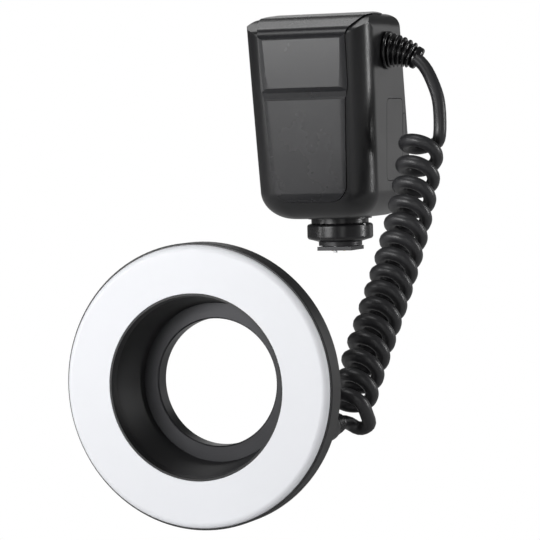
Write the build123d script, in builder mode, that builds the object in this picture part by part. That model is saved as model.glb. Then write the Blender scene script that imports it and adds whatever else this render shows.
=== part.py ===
from build123d import *
import math
import os

os.makedirs("parts", exist_ok=True)

# Macro ring flash in millimetres. The origin is the centre of the foot's underside, +Z is up,
# and the lamps face -Y. Seen from the front, +X is to the right.

# Shared clearances
overrun = 1.0
running_gap = 0.05
moving_gap = 0.3
seat_gap = 0.15

# Ring head: a depth is measured from the diffuser's front plane towards the back
ring_front_y = -190.0
ring_axis_z = -53.0
ring_radius = 65.8
bore_front_radius = 41.9
bore_back_radius = 36.9
bore_depth = 25.2
bore_wall = 1.4
bore_lip = 0.9
bore_groove_depth = 0.35
bore_grooves = 13
bezel_front_depth = 3.0
bezel_length = 6.3
bezel_wall = 1.5
bezel_rib = 1.1
rim_length = 4.2
ring_back_depth = 28.0
ring_back_radius = 49.5
ring_wall = 1.8
ring_floor = 4.5

# Adapter ring for a 62 mm filter thread
thread_radius = 31.0
adapter_bore_radius = 29.6
adapter_flange_radius = 40.5
thread_length = 5.0

# Controller casing: heights are above the foot's underside
casing_bottom = 17.0
casing_top = 120.6
front_top_reach = 48.2
front_reference_height = 109.0
front_lean = 4.8
front_bow_radius = 4000.0
rear_top_reach = 7.2
rear_lean = 12.0
casing_top_half_width = 33.8
side_taper = 1.4
casing_wall = 2.2
front_corner = 14.5
rear_corner = 4.5
bottom_round_x = 15.0
bottom_round_y = 13.0
bottom_round_height = 14.0
top_round_x = 9.0
brow_height = 110.8
brow_round = 7.0
shoulder_height = 118.2
shoulder_reach = 33.5
shoulder_round = 25.0
crest_reach = 12.0
rear_top_round = 5.0
split_lean = 7.5
split_height = 61.0
split_y = -1.0

# Neck and foot
neck_screw_circle = 10.4
neck_screw_radius = 0.9
neck_screw_count = 4
neck_screw_start = 45.0
foot_width = 18.6
foot_thickness = 2.0
stem_radius = 6.0
rail_gap = 0.4
plate_radius = 11.2
plate_thickness = 2.0
wheel_radius = 17.0
wheel_height = 9.2
wheel_round = 1.5
wheel_cone_height = 1.1
wheel_cone_radius = 11.6
wheel_lift = 1.5
collar_radius = 14.8
collar_rim_radius = 16.5
collar_rim_height = 0.6

# Cord
cord_diameter = 6.5
coil_radius = 8.5
coil_end_radius = 7.8
coil_turns = 15
coil_end_stretch = 0.02


def ring_revolve(points):
    # A closed outline of (radius, depth) pairs, turned about the ring's axis
    with BuildPart() as turned:
        with BuildSketch(ring_profile):
            with BuildLine():
                Polyline(*points, close=True)
            make_face()
        revolve(axis=ring_axis)
    return turned.part


def ring_face(depth):
    # A plane square to the ring's axis at a depth, looking towards the front
    return Plane(origin=(0, ring_front_y + depth, ring_axis_z), x_dir=(1, 0, 0), z_dir=(0, -1, 0))


ring_profile = Plane(origin=(0, ring_front_y, ring_axis_z), x_dir=(1, 0, 0), z_dir=(0, 0, 1))
ring_axis = Axis((0, ring_front_y, ring_axis_z), (0, 1, 0))

# Depths that several ring pieces share
bezel_back_depth = bezel_front_depth + bezel_length
rim_back_depth = bezel_back_depth + rim_length
bevel_slope = (ring_radius - ring_back_radius) / (ring_back_depth - rim_back_depth)
bevel_angle = math.atan(bevel_slope)
bevel_wall_across = ring_wall / math.cos(bevel_angle)
floor_depth = ring_back_depth - ring_floor
adapter_front_depth = bore_depth + moving_gap


def bevel_radius(depth):
    return ring_radius - bevel_slope * (depth - rim_back_depth)


# Diffuser: a pale moulded ring with a rounded outer edge and a skirt inside the bezel
diffuser_inset = 1.0
diffuser_radius = ring_radius - diffuser_inset
diffuser_wall = 1.5
diffuser_round = 3.0
diffuser_inner_radius = bore_front_radius + bore_lip + seat_gap
bezel_inner_radius = ring_radius - bezel_wall
skirt_radius = bezel_inner_radius - seat_gap
skirt_inner_radius = skirt_radius - diffuser_wall
skirt_depth = bezel_back_depth - 2 * bezel_rib

with BuildPart() as ring_diffuser:
    with BuildSketch(ring_profile):
        with BuildLine():
            flat_out = (diffuser_radius - diffuser_round, 0)
            edge_out = (diffuser_radius, diffuser_round)
            edge_in = (skirt_inner_radius, diffuser_round)
            Line((diffuser_inner_radius, 0), flat_out)
            TangentArc(flat_out, edge_out, tangent=(1, 0))
            Polyline(
                edge_out,
                (skirt_radius, diffuser_round),
                (skirt_radius, skirt_depth),
                (skirt_inner_radius, skirt_depth),
                edge_in,
                (skirt_inner_radius - diffuser_wall, diffuser_wall),
                (diffuser_inner_radius, diffuser_wall),
                (diffuser_inner_radius, 0),
            )
        make_face()
    revolve(axis=ring_axis)

ring_diffuser.part.label = "ring_diffuser"
export_step(ring_diffuser.part, "parts/ring_diffuser.step")

# Front bezel: the dark rim round the diffuser, with the rib that carries its skirt
bezel_edge = 0.4
with BuildPart() as ring_front_bezel:
    with BuildSketch(ring_profile):
        with BuildLine():
            Polyline(
                (bezel_inner_radius, bezel_front_depth + seat_gap),
                (ring_radius - bezel_edge, bezel_front_depth + seat_gap),
                (ring_radius, bezel_front_depth + seat_gap + bezel_edge),
                (ring_radius, bezel_back_depth),
                (bezel_inner_radius - bezel_rib, bezel_back_depth),
                (bezel_inner_radius - bezel_rib, skirt_depth),
                (bezel_inner_radius, skirt_depth),
                close=True,
            )
        make_face()
    revolve(axis=ring_axis)

ring_front_bezel.part.label = "ring_front_bezel"
export_step(ring_front_bezel.part, "parts/ring_front_bezel.step")

# Latch levers rock on a pin in the rear shell: the button is at the side, the hook at the back
latch_half_width = 6.0
latch_front_depth = 17.6
latch_sweep = 2.1
latch_slot_radius = 45.5
latch_boss_half_width = 9.0
latch_boss_radius = 44.0
latch_boss_depth = 14.6
latch_pivot_radius = 51.5
latch_pivot_depth = 22.5
latch_pin_radius = 1.0
latch_pin_half_length = 8.4
latch_hook_radius = 39.6
latch_hook_gap = 0.4
latch_hook_thickness = 1.9
latch_arm = 3.5
latch_heel_depth = 24.0
latch_thumb_radius = 56.0
latch_proud = 0.5
latch_spring_depth = 19.6
latch_spring_radius = 1.6
latch_spring_wire = 0.25
latch_spring_turns = 5

# Socket for the ring head's cord boot, low on the right of the bevel
boot_base_depth = ring_back_depth
ring_boot_x = 52.5
ring_boot_z = -73.0
ring_socket_radius = 7.0
ring_socket_depth = 14.6

# Screws that hold the ring head together, between the latches
ring_screw_count = 4
ring_screw_circle = 45.6
ring_screw_radius = 1.0
ring_screw_head_radius = 1.9
ring_screw_head_depth = 1.2
ring_screw_length = 9.5
screw_driver_slot = 0.5
screw_driver_reach = 1.3

pocket_radius = adapter_flange_radius + moving_gap
sleeve_back_radius = bore_back_radius + bore_wall
sleeve_front_radius = bore_front_radius + bore_wall
sleeve_step_depth = diffuser_wall + seat_gap


def sleeve_radius(depth):
    # Outer radius of the bore sleeve behind the step that the diffuser sits on
    taper = (sleeve_front_radius - sleeve_back_radius) / (bore_depth - sleeve_step_depth)
    return sleeve_front_radius - taper * (depth - sleeve_step_depth)


hub_radius = sleeve_radius(floor_depth) + seat_gap
floor_bevel_radius = bevel_radius(floor_depth) - bevel_wall_across
rim_inner_radius = bevel_radius(rim_back_depth) - bevel_wall_across
shell_lip_radius = bezel_inner_radius - bezel_rib

rear_shell_form = ring_revolve(
    [
        (ring_radius, bezel_back_depth),
        (ring_radius, rim_back_depth),
        (ring_back_radius, ring_back_depth),
        (pocket_radius, ring_back_depth),
        (pocket_radius, bore_depth),
        (hub_radius, bore_depth),
        (hub_radius, floor_depth),
        (floor_bevel_radius, floor_depth),
        (rim_inner_radius, rim_back_depth),
        (shell_lip_radius, rim_back_depth - ring_wall),
        (shell_lip_radius, bezel_back_depth),
    ]
)

with BuildPart() as ring_rear_shell:
    add(rear_shell_form)
    # solid ears beside each latch slot
    for side in (1, -1):
        with BuildSketch(ring_profile):
            with BuildLine():
                Polyline(
                    (side * latch_boss_radius, latch_boss_depth),
                    (side * (bevel_radius(latch_boss_depth) - ring_wall), latch_boss_depth),
                    (side * (bevel_radius(floor_depth) - ring_wall), floor_depth),
                    (side * latch_boss_radius, floor_depth),
                    close=True,
                )
            make_face()
        extrude(amount=latch_boss_half_width, both=True)
    # socket boss that the cord boot sits on
    with BuildSketch(ring_face(boot_base_depth)):
        with Locations((ring_boot_x, ring_boot_z - ring_axis_z)):
            Circle(ring_socket_radius)
    extrude(amount=boot_base_depth - ring_socket_depth)
    # slots, pin holes and screw holes
    for side in (1, -1):
        with BuildSketch(ring_profile):
            with BuildLine():
                slot_front = latch_front_depth - latch_sweep
                Polyline(
                    (side * latch_slot_radius, slot_front),
                    (side * (ring_radius + overrun), slot_front),
                    (side * (ring_radius + overrun), ring_back_depth + overrun),
                    (side * latch_slot_radius, ring_back_depth + overrun),
                    close=True,
                )
            make_face()
        extrude(amount=latch_half_width + moving_gap, both=True, mode=Mode.SUBTRACT)
        with BuildSketch(ring_profile):
            with Locations((side * latch_pivot_radius, latch_pivot_depth)):
                Circle(latch_pin_radius)
        extrude(amount=latch_pin_half_length, both=True, mode=Mode.SUBTRACT)
    with BuildSketch(ring_face(ring_back_depth)):
        with PolarLocations(ring_screw_circle, ring_screw_count, start_angle=45):
            Circle(ring_screw_head_radius + seat_gap)
    extrude(amount=ring_screw_head_depth, mode=Mode.SUBTRACT)
    with BuildSketch(ring_face(ring_back_depth)):
        with PolarLocations(ring_screw_circle, ring_screw_count, start_angle=45):
            Circle(ring_screw_radius + seat_gap)
    extrude(amount=ring_floor + overrun, mode=Mode.SUBTRACT)

ring_rear_shell.part.label = "ring_rear_shell"
export_step(ring_rear_shell.part, "parts/ring_rear_shell.step")

# Bore sleeve: a tapering black tube with fine light-trap grooves and a lip round the opening
sleeve_lug_radius = 2.6
sleeve_lug_depth = 14.2
sleeve_rib_width = 2.4
groove_start_share = 0.16


def bore_radius(depth):
    return bore_front_radius - (bore_front_radius - bore_back_radius) * depth / bore_depth


groove_pitch = bore_depth * (1 - groove_start_share) / bore_grooves
sleeve_points = [(bore_front_radius, 0)]
for groove in range(bore_grooves):
    ridge_depth = bore_depth * groove_start_share + groove * groove_pitch
    sleeve_points.append((bore_radius(ridge_depth), ridge_depth))
    sleeve_points.append((bore_radius(ridge_depth) + bore_groove_depth, ridge_depth + groove_pitch / 4))
sleeve_points.append((bore_back_radius, bore_depth))
sleeve_points.append((sleeve_back_radius, bore_depth))
sleeve_points.append((sleeve_front_radius, sleeve_step_depth))
sleeve_points.append((bore_front_radius + bore_lip, sleeve_step_depth))
sleeve_points.append((bore_front_radius + bore_lip, 0))
sleeve_form = ring_revolve(sleeve_points)

with BuildPart() as ring_bore_sleeve:
    add(sleeve_form)
    with BuildSketch(ring_face(sleeve_lug_depth)):
        with PolarLocations(ring_screw_circle, ring_screw_count, start_angle=45):
            Circle(sleeve_lug_radius)
        with PolarLocations(ring_screw_circle - sleeve_lug_radius, ring_screw_count, start_angle=45):
            Rectangle(2 * sleeve_lug_radius, sleeve_rib_width)
    extrude(amount=-(floor_depth - sleeve_lug_depth))
    with BuildSketch(ring_face(floor_depth)):
        with PolarLocations(ring_screw_circle, ring_screw_count, start_angle=45):
            Circle(ring_screw_radius)
    extrude(amount=ring_screw_length - ring_floor + ring_screw_head_depth, mode=Mode.SUBTRACT)

ring_bore_sleeve.part.label = "ring_bore_sleeve"
export_step(ring_bore_sleeve.part, "parts/ring_bore_sleeve.step")

# Reflector: a bright pressed trough that the lamps lie in
reflector_sheet = 0.6
reflector_front_depth = diffuser_round + moving_gap
reflector_floor_depth = 11.6
reflector_inner_radius = bore_front_radius + bore_wall + bore_lip
reflector_outer_radius = skirt_inner_radius - moving_gap
trough_slant_share = 0.2
trough_foot_share = 0.35
trough_width = reflector_outer_radius - reflector_inner_radius
trough_slant = trough_width * trough_slant_share
trough_foot = trough_width * trough_foot_share / 2
trough_mid_depth = reflector_floor_depth * (1 - trough_slant_share)


def trough_outline(inset):
    # The trough's section from its inner lip to its outer lip
    return [
        (reflector_inner_radius + inset, reflector_front_depth),
        (reflector_inner_radius + trough_foot / 2 + inset, trough_mid_depth - inset),
        (reflector_inner_radius + trough_slant + inset, reflector_floor_depth - inset),
        (reflector_outer_radius - trough_slant - inset, reflector_floor_depth - inset),
        (reflector_outer_radius - trough_foot / 2 - inset, trough_mid_depth - inset),
        (reflector_outer_radius - inset, reflector_front_depth),
    ]


reflector_form = ring_revolve(trough_outline(0) + trough_outline(reflector_sheet)[::-1])
with BuildPart() as ring_reflector:
    add(reflector_form)

ring_reflector.part.label = "ring_reflector"
export_step(ring_reflector.part, "parts/ring_reflector.step")

# Flash tubes: two glass arcs, one above and one below, with metal end caps
tube_circle = 53.8
tube_radius = 2.3
tube_depth = 8.0
tube_span = 146.0
electrode_span = 7.0
electrode_radius = 2.7


def ring_arc(section_radius, start_angle, span):
    # A round bar bent about the ring's axis, from an angle above +X
    start_plane = ring_profile.rotated((0, -start_angle, 0))
    with BuildPart() as bar:
        with BuildSketch(start_plane):
            with Locations((tube_circle, tube_depth)):
                Circle(section_radius)
        revolve(axis=ring_axis, revolution_arc=-span)
    return bar.part


flash_tube_upper = ring_arc(tube_radius, 90 - tube_span / 2, tube_span)
flash_tube_upper.label = "flash_tube_upper"
export_step(flash_tube_upper, "parts/flash_tube_upper.step")

flash_tube_lower = ring_arc(tube_radius, 270 - tube_span / 2, tube_span)
flash_tube_lower.label = "flash_tube_lower"
export_step(flash_tube_lower, "parts/flash_tube_lower.step")

with BuildPart() as tube_electrodes:
    for middle in (90, 270):
        add(ring_arc(electrode_radius, middle - tube_span / 2 - electrode_span, electrode_span))
        add(ring_arc(electrode_radius, middle + tube_span / 2, electrode_span))

tube_electrodes.part.label = "tube_electrodes"
export_step(tube_electrodes.part, "parts/tube_electrodes.step")

# Modelling lamps: four small light-emitting chips in the gaps between the tubes
lamp_length = 3.4
lamp_width = 2.8
lamp_height = 1.9
lamp_offset = 3.6
lamp_seat_depth = reflector_floor_depth - reflector_sheet

with BuildPart() as modelling_lamps:
    with BuildSketch(ring_face(lamp_seat_depth)):
        for side in (1, -1):
            with Locations((side * tube_circle, lamp_offset), (side * tube_circle, -lamp_offset)):
                Rectangle(lamp_length, lamp_width)
    extrude(amount=lamp_height)

modelling_lamps.part.label = "modelling_lamps"
export_step(modelling_lamps.part, "parts/modelling_lamps.step")

# Ring circuit board and the trigger coil soldered behind it
board_thickness = 1.6
ring_board_inner_radius = 44.6
ring_board_outer_radius = 61.2
ring_board_depth = reflector_floor_depth
ring_board_back = ring_board_depth + board_thickness

with BuildPart() as ring_circuit_board:
    with BuildSketch(ring_face(ring_board_depth)):
        Circle(ring_board_outer_radius)
        Circle(ring_board_inner_radius, mode=Mode.SUBTRACT)
    extrude(amount=-board_thickness)

ring_circuit_board.part.label = "ring_circuit_board"
export_step(ring_circuit_board.part, "parts/ring_circuit_board.step")

trigger_width = 9.0
trigger_height = 7.0
trigger_depth = 5.0
trigger_angle = 110

with BuildPart() as trigger_coil:
    with BuildSketch(ring_face(ring_board_back)):
        with PolarLocations(tube_circle - overrun, 1, start_angle=trigger_angle):
            Rectangle(trigger_height, trigger_width)
    extrude(amount=-trigger_depth)

trigger_coil.part.label = "trigger_coil"
export_step(trigger_coil.part, "parts/trigger_coil.step")

# Latch levers, their pins and springs
hook_front_depth = ring_back_depth + latch_hook_gap
hook_back_depth = hook_front_depth + latch_hook_thickness
latch_back_radius = bevel_radius(ring_back_depth)


def latch_outline(side):
    return [
        (side * (bevel_radius(latch_front_depth) + latch_proud), latch_front_depth),
        (side * (bevel_radius(latch_pivot_depth) + latch_proud / 2), latch_pivot_depth),
        (side * latch_back_radius, ring_back_depth),
        (side * latch_back_radius, hook_back_depth),
        (side * latch_hook_radius, hook_back_depth),
        (side * latch_hook_radius, hook_front_depth),
        (side * (latch_back_radius - latch_arm), hook_front_depth),
        (side * (latch_back_radius - latch_arm), latch_heel_depth),
        (side * latch_thumb_radius, latch_front_depth),
    ]


with BuildPart() as latch_right:
    with BuildSketch(ring_profile):
        with BuildLine():
            Polyline(*latch_outline(1), close=True)
        make_face()
        with Locations((latch_pivot_radius, latch_pivot_depth)):
            Circle(latch_pin_radius + running_gap, mode=Mode.SUBTRACT)
    extrude(amount=latch_half_width, both=True)

latch_right.part.label = "latch_right"
export_step(latch_right.part, "parts/latch_right.step")

with BuildPart() as latch_left:
    with BuildSketch(ring_profile):
        with BuildLine():
            Polyline(*latch_outline(-1), close=True)
        make_face()
        with Locations((-latch_pivot_radius, latch_pivot_depth)):
            Circle(latch_pin_radius + running_gap, mode=Mode.SUBTRACT)
    extrude(amount=latch_half_width, both=True)

latch_left.part.label = "latch_left"
export_step(latch_left.part, "parts/latch_left.step")

with BuildPart() as latch_pins:
    with BuildSketch(ring_profile):
        with Locations((latch_pivot_radius, latch_pivot_depth), (-latch_pivot_radius, latch_pivot_depth)):
            Circle(latch_pin_radius)
    extrude(amount=latch_pin_half_length, both=True)

latch_pins.part.label = "latch_pins"
export_step(latch_pins.part, "parts/latch_pins.step")

# Adapter ring: a flange that the latches hold, and the thread that screws into a lens
adapter_bore_edge = 0.6
adapter_back_depth = ring_back_depth + thread_length + adapter_bore_edge
thread_relief = 0.4

adapter_form = ring_revolve(
    [
        (adapter_bore_radius + adapter_bore_edge, adapter_front_depth),
        (adapter_flange_radius, adapter_front_depth),
        (adapter_flange_radius, ring_back_depth),
        (thread_radius, ring_back_depth),
        (thread_radius, adapter_back_depth - thread_relief),
        (thread_radius - thread_relief, adapter_back_depth),
        (adapter_bore_radius, adapter_back_depth),
        (adapter_bore_radius, adapter_front_depth + adapter_bore_edge),
    ]
)
with BuildPart() as adapter_ring:
    add(adapter_form)

adapter_ring.part.label = "adapter_ring"
export_step(adapter_ring.part, "parts/adapter_ring.step")

# Screws of the ring head, heads let into the back
with BuildPart() as ring_screws:
    with BuildSketch(ring_face(ring_back_depth)):
        with PolarLocations(ring_screw_circle, ring_screw_count, start_angle=45):
            Circle(ring_screw_head_radius)
    extrude(amount=ring_screw_head_depth)
    with BuildSketch(ring_face(ring_back_depth - ring_screw_head_depth)):
        with PolarLocations(ring_screw_circle, ring_screw_count, start_angle=45):
            Circle(ring_screw_radius)
    extrude(amount=ring_screw_length)
    with BuildSketch(ring_face(ring_back_depth)):
        with PolarLocations(ring_screw_circle, ring_screw_count, start_angle=45):
            Rectangle(2 * screw_driver_reach, screw_driver_slot)
            Rectangle(screw_driver_slot, 2 * screw_driver_reach)
    extrude(amount=ring_screw_head_depth / 2, mode=Mode.SUBTRACT)

ring_screws.part.label = "ring_screws"
export_step(ring_screws.part, "parts/ring_screws.step")


def biarc(start, start_way, end, end_way):
    # Two arcs that leave start and reach end along the given unit directions
    span = end - start
    ways = start_way + end_way
    spread = 2 * (1 - start_way.dot(end_way))
    along = span.dot(ways)
    reach = (math.sqrt(along * along + spread * span.dot(span)) - along) / spread
    leave = start + start_way * reach
    arrive = end - end_way * reach
    middle = (leave + arrive) * 0.5
    TangentArc(start, middle, tangent=start_way)
    TangentArc(middle, end, tangent=(arrive - leave).normalized())


# Cord boot of the ring head: a ribbed cone on a straight axis towards the back
boot_length = 15.5
boot_rib_count = 6
boot_base_radius = 6.4
boot_tip_radius = 4.6
boot_rib_height = 1.0
boot_flange_radius = 6.9
boot_flange_length = 1.6
rib_rise_share = 0.2
rib_crest_share = 0.55
rib_fall_share = 0.75


def boot_circles(ribs, base_radius, tip_radius, rib_height):
    # Shares of the ribbed length with the radius at each: four circles for each rib
    circles = []
    for rib in range(ribs):
        valley = base_radius - (base_radius - tip_radius) * rib / ribs
        circles.append((rib / ribs, valley - rib_height))
        circles.append(((rib + rib_rise_share) / ribs, valley))
        circles.append(((rib + rib_crest_share) / ribs, valley))
        circles.append(((rib + rib_fall_share) / ribs, valley - rib_height))
    circles.append((1.0, tip_radius - rib_height))
    return circles


ring_boot_front_y = ring_front_y + boot_base_depth
ring_boot_tip_y = ring_boot_front_y + boot_length
boot_ribbed_length = boot_length - boot_flange_length

with BuildPart() as ring_cord_boot:
    with BuildSketch(ring_face(boot_base_depth)):
        with Locations((ring_boot_x, ring_boot_z - ring_axis_z)):
            Circle(boot_flange_radius)
    extrude(amount=-boot_flange_length)
    for share, radius in boot_circles(boot_rib_count, boot_base_radius, boot_tip_radius, boot_rib_height):
        with BuildSketch(ring_face(boot_base_depth + boot_flange_length + share * boot_ribbed_length)):
            with Locations((ring_boot_x, ring_boot_z - ring_axis_z)):
                Circle(radius)
    loft(ruled=True)

ring_cord_boot.part.label = "ring_cord_boot"
export_step(ring_cord_boot.part, "parts/ring_cord_boot.step")

# Cord boot of the controller: the same ribbed form, bent down as it leaves the right wall
upper_boot_height = 101.4
upper_boot_y = -15.0
upper_boot_length = 17.9
upper_boot_lean = 20.0
upper_boot_bend = 34.0
upper_boot_base_radius = 9.0
upper_boot_tip_radius = 5.7
upper_boot_rib_height = 1.3
upper_boot_ribs = 6
upper_boot_flange_radius = 9.6
upper_boot_flange_length = 1.8


def half_width(height):
    return casing_top_half_width - math.tan(math.radians(side_taper)) * (casing_top - height)


def front_y(height):
    drop = front_reference_height - height
    return math.tan(math.radians(front_lean)) * drop + drop * drop / (2 * front_bow_radius) - front_top_reach


def rear_y(height):
    return rear_top_reach + math.tan(math.radians(rear_lean)) * (casing_top - height)


lean = math.radians(upper_boot_lean)
taper = math.radians(side_taper)
boot_out = Vector(math.cos(taper), 0, -math.sin(taper))
boot_down = Vector(-math.sin(taper) * math.cos(lean), -math.sin(lean), -math.cos(taper) * math.cos(lean))
boot_base = Vector(half_width(upper_boot_height), upper_boot_y, upper_boot_height) + boot_out * seat_gap


def upper_boot_plane(share):
    # The plane square to the boot's bent axis at a share of its length
    bend = math.radians(upper_boot_bend)
    turn_radius = upper_boot_length / bend
    angle = bend * share
    point = boot_base + boot_out * (turn_radius * math.sin(angle))
    point = point + boot_down * (turn_radius * (1 - math.cos(angle)))
    way = boot_out * math.cos(angle) + boot_down * math.sin(angle)
    return Plane(origin=point, x_dir=boot_out.cross(boot_down), z_dir=way)


upper_flange_share = upper_boot_flange_length / upper_boot_length
with BuildPart() as controller_cord_boot:
    with BuildSketch(upper_boot_plane(0)):
        Circle(upper_boot_flange_radius)
    extrude(amount=upper_boot_flange_length)
    for share, radius in boot_circles(
        upper_boot_ribs, upper_boot_base_radius, upper_boot_tip_radius, upper_boot_rib_height
    ):
        with BuildSketch(upper_boot_plane(upper_flange_share + share * (1 - upper_flange_share))):
            Circle(radius)
    loft(ruled=True)

controller_cord_boot.part.label = "controller_cord_boot"
export_step(controller_cord_boot.part, "parts/controller_cord_boot.step")

upper_boot_tip = upper_boot_plane(1.0)
tip_point = upper_boot_tip.origin
tip_way = upper_boot_tip.z_dir
print("upper boot tip", tip_point, tip_way)

# Curly cord: the coil's axis is one cubic curve from beside the controller to behind the ring
coil_axis_points = [(55.6, -26.6, 59.7), (60.3, -62.1, 2.4), (56.6, -101.7, -25.4), (56.5, -141.0, -67.6)]
coil_start_angle = 90.0
coil_end_angle = coil_start_angle + 360.0 * coil_turns
coil_step = 90.0
coil_look = 0.5
cord_radius = cord_diameter / 2
coil_top_point = Vector(64.5, -25.8, 60.0)
coil_top_way = Vector(0.06, -0.2, -1).normalized()
coil_low_point = Vector(61.1, -133.7, -76.3)
coil_low_way = Vector(-0.89, 0.25, -0.38).normalized()
coil_exit_point = Vector(ring_boot_x, ring_boot_tip_y + cord_diameter, ring_boot_z)
coil_exit_way = Vector(0, -1, 0)


def coil_axis(share):
    # A point of the cubic curve and the direction there
    rest = 1 - share
    ends = [Vector(*point) for point in coil_axis_points]
    point = ends[0] * rest**3 + ends[1] * (3 * rest * rest * share)
    point = point + ends[2] * (3 * rest * share * share) + ends[3] * share**3
    way = (ends[1] - ends[0]) * (rest * rest) + (ends[2] - ends[1]) * (2 * rest * share)
    way = way + (ends[3] - ends[2]) * (share * share)
    return point, way.normalized()


def coil_point(angle):
    # Left-handed turns, drawn wider apart at both ends, their radius shrinking towards the ring
    turned = (angle - coil_start_angle) / (coil_end_angle - coil_start_angle)
    share = turned + coil_end_stretch * math.sin(2 * math.pi * turned) / (2 * math.pi)
    centre, way = coil_axis(share)
    across = (Vector(1, 0, 0) - way * way.X).normalized()
    upward = way.cross(across)
    radius = coil_radius + (coil_end_radius - coil_radius) * turned
    swing = math.radians(angle)
    return centre + (upward * math.cos(swing) + across * math.sin(swing)) * radius


def coil_way(angle):
    return (coil_point(angle + coil_look) - coil_point(angle - coil_look)).normalized()


coil_stations = [(coil_top_point, coil_top_way)]
coil_angle = coil_start_angle + coil_step
while coil_angle <= coil_end_angle + coil_look:
    coil_stations.append((coil_point(coil_angle), coil_way(coil_angle)))
    coil_angle += coil_step
coil_stations.append((coil_low_point, coil_low_way))
coil_stations.append((coil_exit_point, coil_exit_way))

with BuildPart() as curly_cord:
    with BuildLine() as coil_path:
        Line(coil_top_point - coil_top_way * cord_diameter, coil_top_point)
        for (start, start_way), (end, end_way) in zip(coil_stations, coil_stations[1:]):
            biarc(start, start_way, end, end_way)
        Line(coil_exit_point, coil_exit_point + coil_exit_way * cord_diameter)
    with BuildSketch(Plane(origin=coil_top_point - coil_top_way * cord_diameter, z_dir=coil_top_way)):
        Circle(cord_radius)
    sweep(path=coil_path.wires()[0])

curly_cord.part.label = "curly_cord"
export_step(curly_cord.part, "parts/curly_cord.step")


def least_gap(wire, spacing, skip):
    # The least clear gap between stretches of the cord that are more than half a turn apart
    count = int(wire.length / spacing)
    samples = [wire @ (index / count) for index in range(count + 1)]
    least = wire.length
    for first, point in enumerate(samples):
        for other in samples[first + skip :]:
            least = min(least, (point - other).length)
    return least - cord_diameter


coil_length = coil_path.wires()[0].length
coil_sample = 1.6
print("curly cord length", round(coil_length, 1))
print("curly cord least gap", round(least_gap(coil_path.wires()[0], coil_sample, 15), 2))
coil_volume = math.pi * cord_radius**2 * coil_length
print("curly cord volume share", round(curly_cord.part.volume / coil_volume, 4))

# Upper lead: from the controller's boot down to the coil, straight runs joined by tangent arcs
upper_lead_exit = 5.0
upper_lead_end = 7.0
upper_lead_points = [
    tip_point,
    tip_point + tip_way * upper_lead_exit,
    (60.6, -20.8, 82.0),
    coil_top_point - coil_top_way * (cord_diameter + upper_lead_end),
    coil_top_point - coil_top_way * cord_diameter,
]
lead_radius_share = 0.45


def lead_radii(points):
    radii = []
    for before, corner, after in zip(points, points[1:], points[2:]):
        coming = Vector(*corner) - Vector(*before)
        going = Vector(*after) - Vector(*corner)
        turn = math.radians(coming.get_angle(going))
        radii.append(lead_radius_share * min(coming.length, going.length) / math.tan(turn / 2))
    return radii


lead_arcs = lead_radii(upper_lead_points)
print("upper lead radii", [round(radius, 1) for radius in lead_arcs])
with BuildPart() as cord_upper_lead:
    with BuildLine() as lead_path:
        FilletPolyline(*upper_lead_points, radius=lead_arcs)
    lead_start = Vector(*upper_lead_points[0])
    lead_way = (Vector(*upper_lead_points[1]) - lead_start).normalized()
    with BuildSketch(Plane(origin=lead_start, z_dir=lead_way)):
        Circle(cord_radius)
    sweep(path=lead_path.wires()[0])

lead_length = lead_path.wires()[0].length
lead_volume = math.pi * cord_radius**2 * lead_length
lead_share = cord_upper_lead.part.volume / lead_volume
print("upper lead length", round(lead_length, 1), "volume share", round(lead_share, 4))
cord_upper_lead.part.label = "cord_upper_lead"
export_step(cord_upper_lead.part, "parts/cord_upper_lead.step")

# Casing of the controller: rounded sections stacked up a leaning, tapering body
casing_sections = 4
bottom_steps = 5
corner_shrink_share = 0.5
form_slack = 0.02


def casing_section(height, drawn, inset):
    # One level section; drawn is the share by which the bottom's rounding has pulled it in
    narrow = inset + drawn * (bottom_round_x - inset)
    shallow = inset + drawn * (bottom_round_y - inset)
    wide = half_width(height) - narrow
    front = front_y(height) + shallow
    back = rear_y(height) - shallow
    shrink = 1 - corner_shrink_share * drawn
    corners = [(front_corner - inset) * shrink] * 2 + [(rear_corner - inset) * shrink] * 2
    with BuildSketch(Plane.XY.offset(height)) as section:
        with BuildLine():
            outline = [(-wide, front), (wide, front), (wide, back), (-wide, back)]
            FilletPolyline(*outline, radius=corners, close=True)
        make_face()
    return section.sketch


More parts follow.
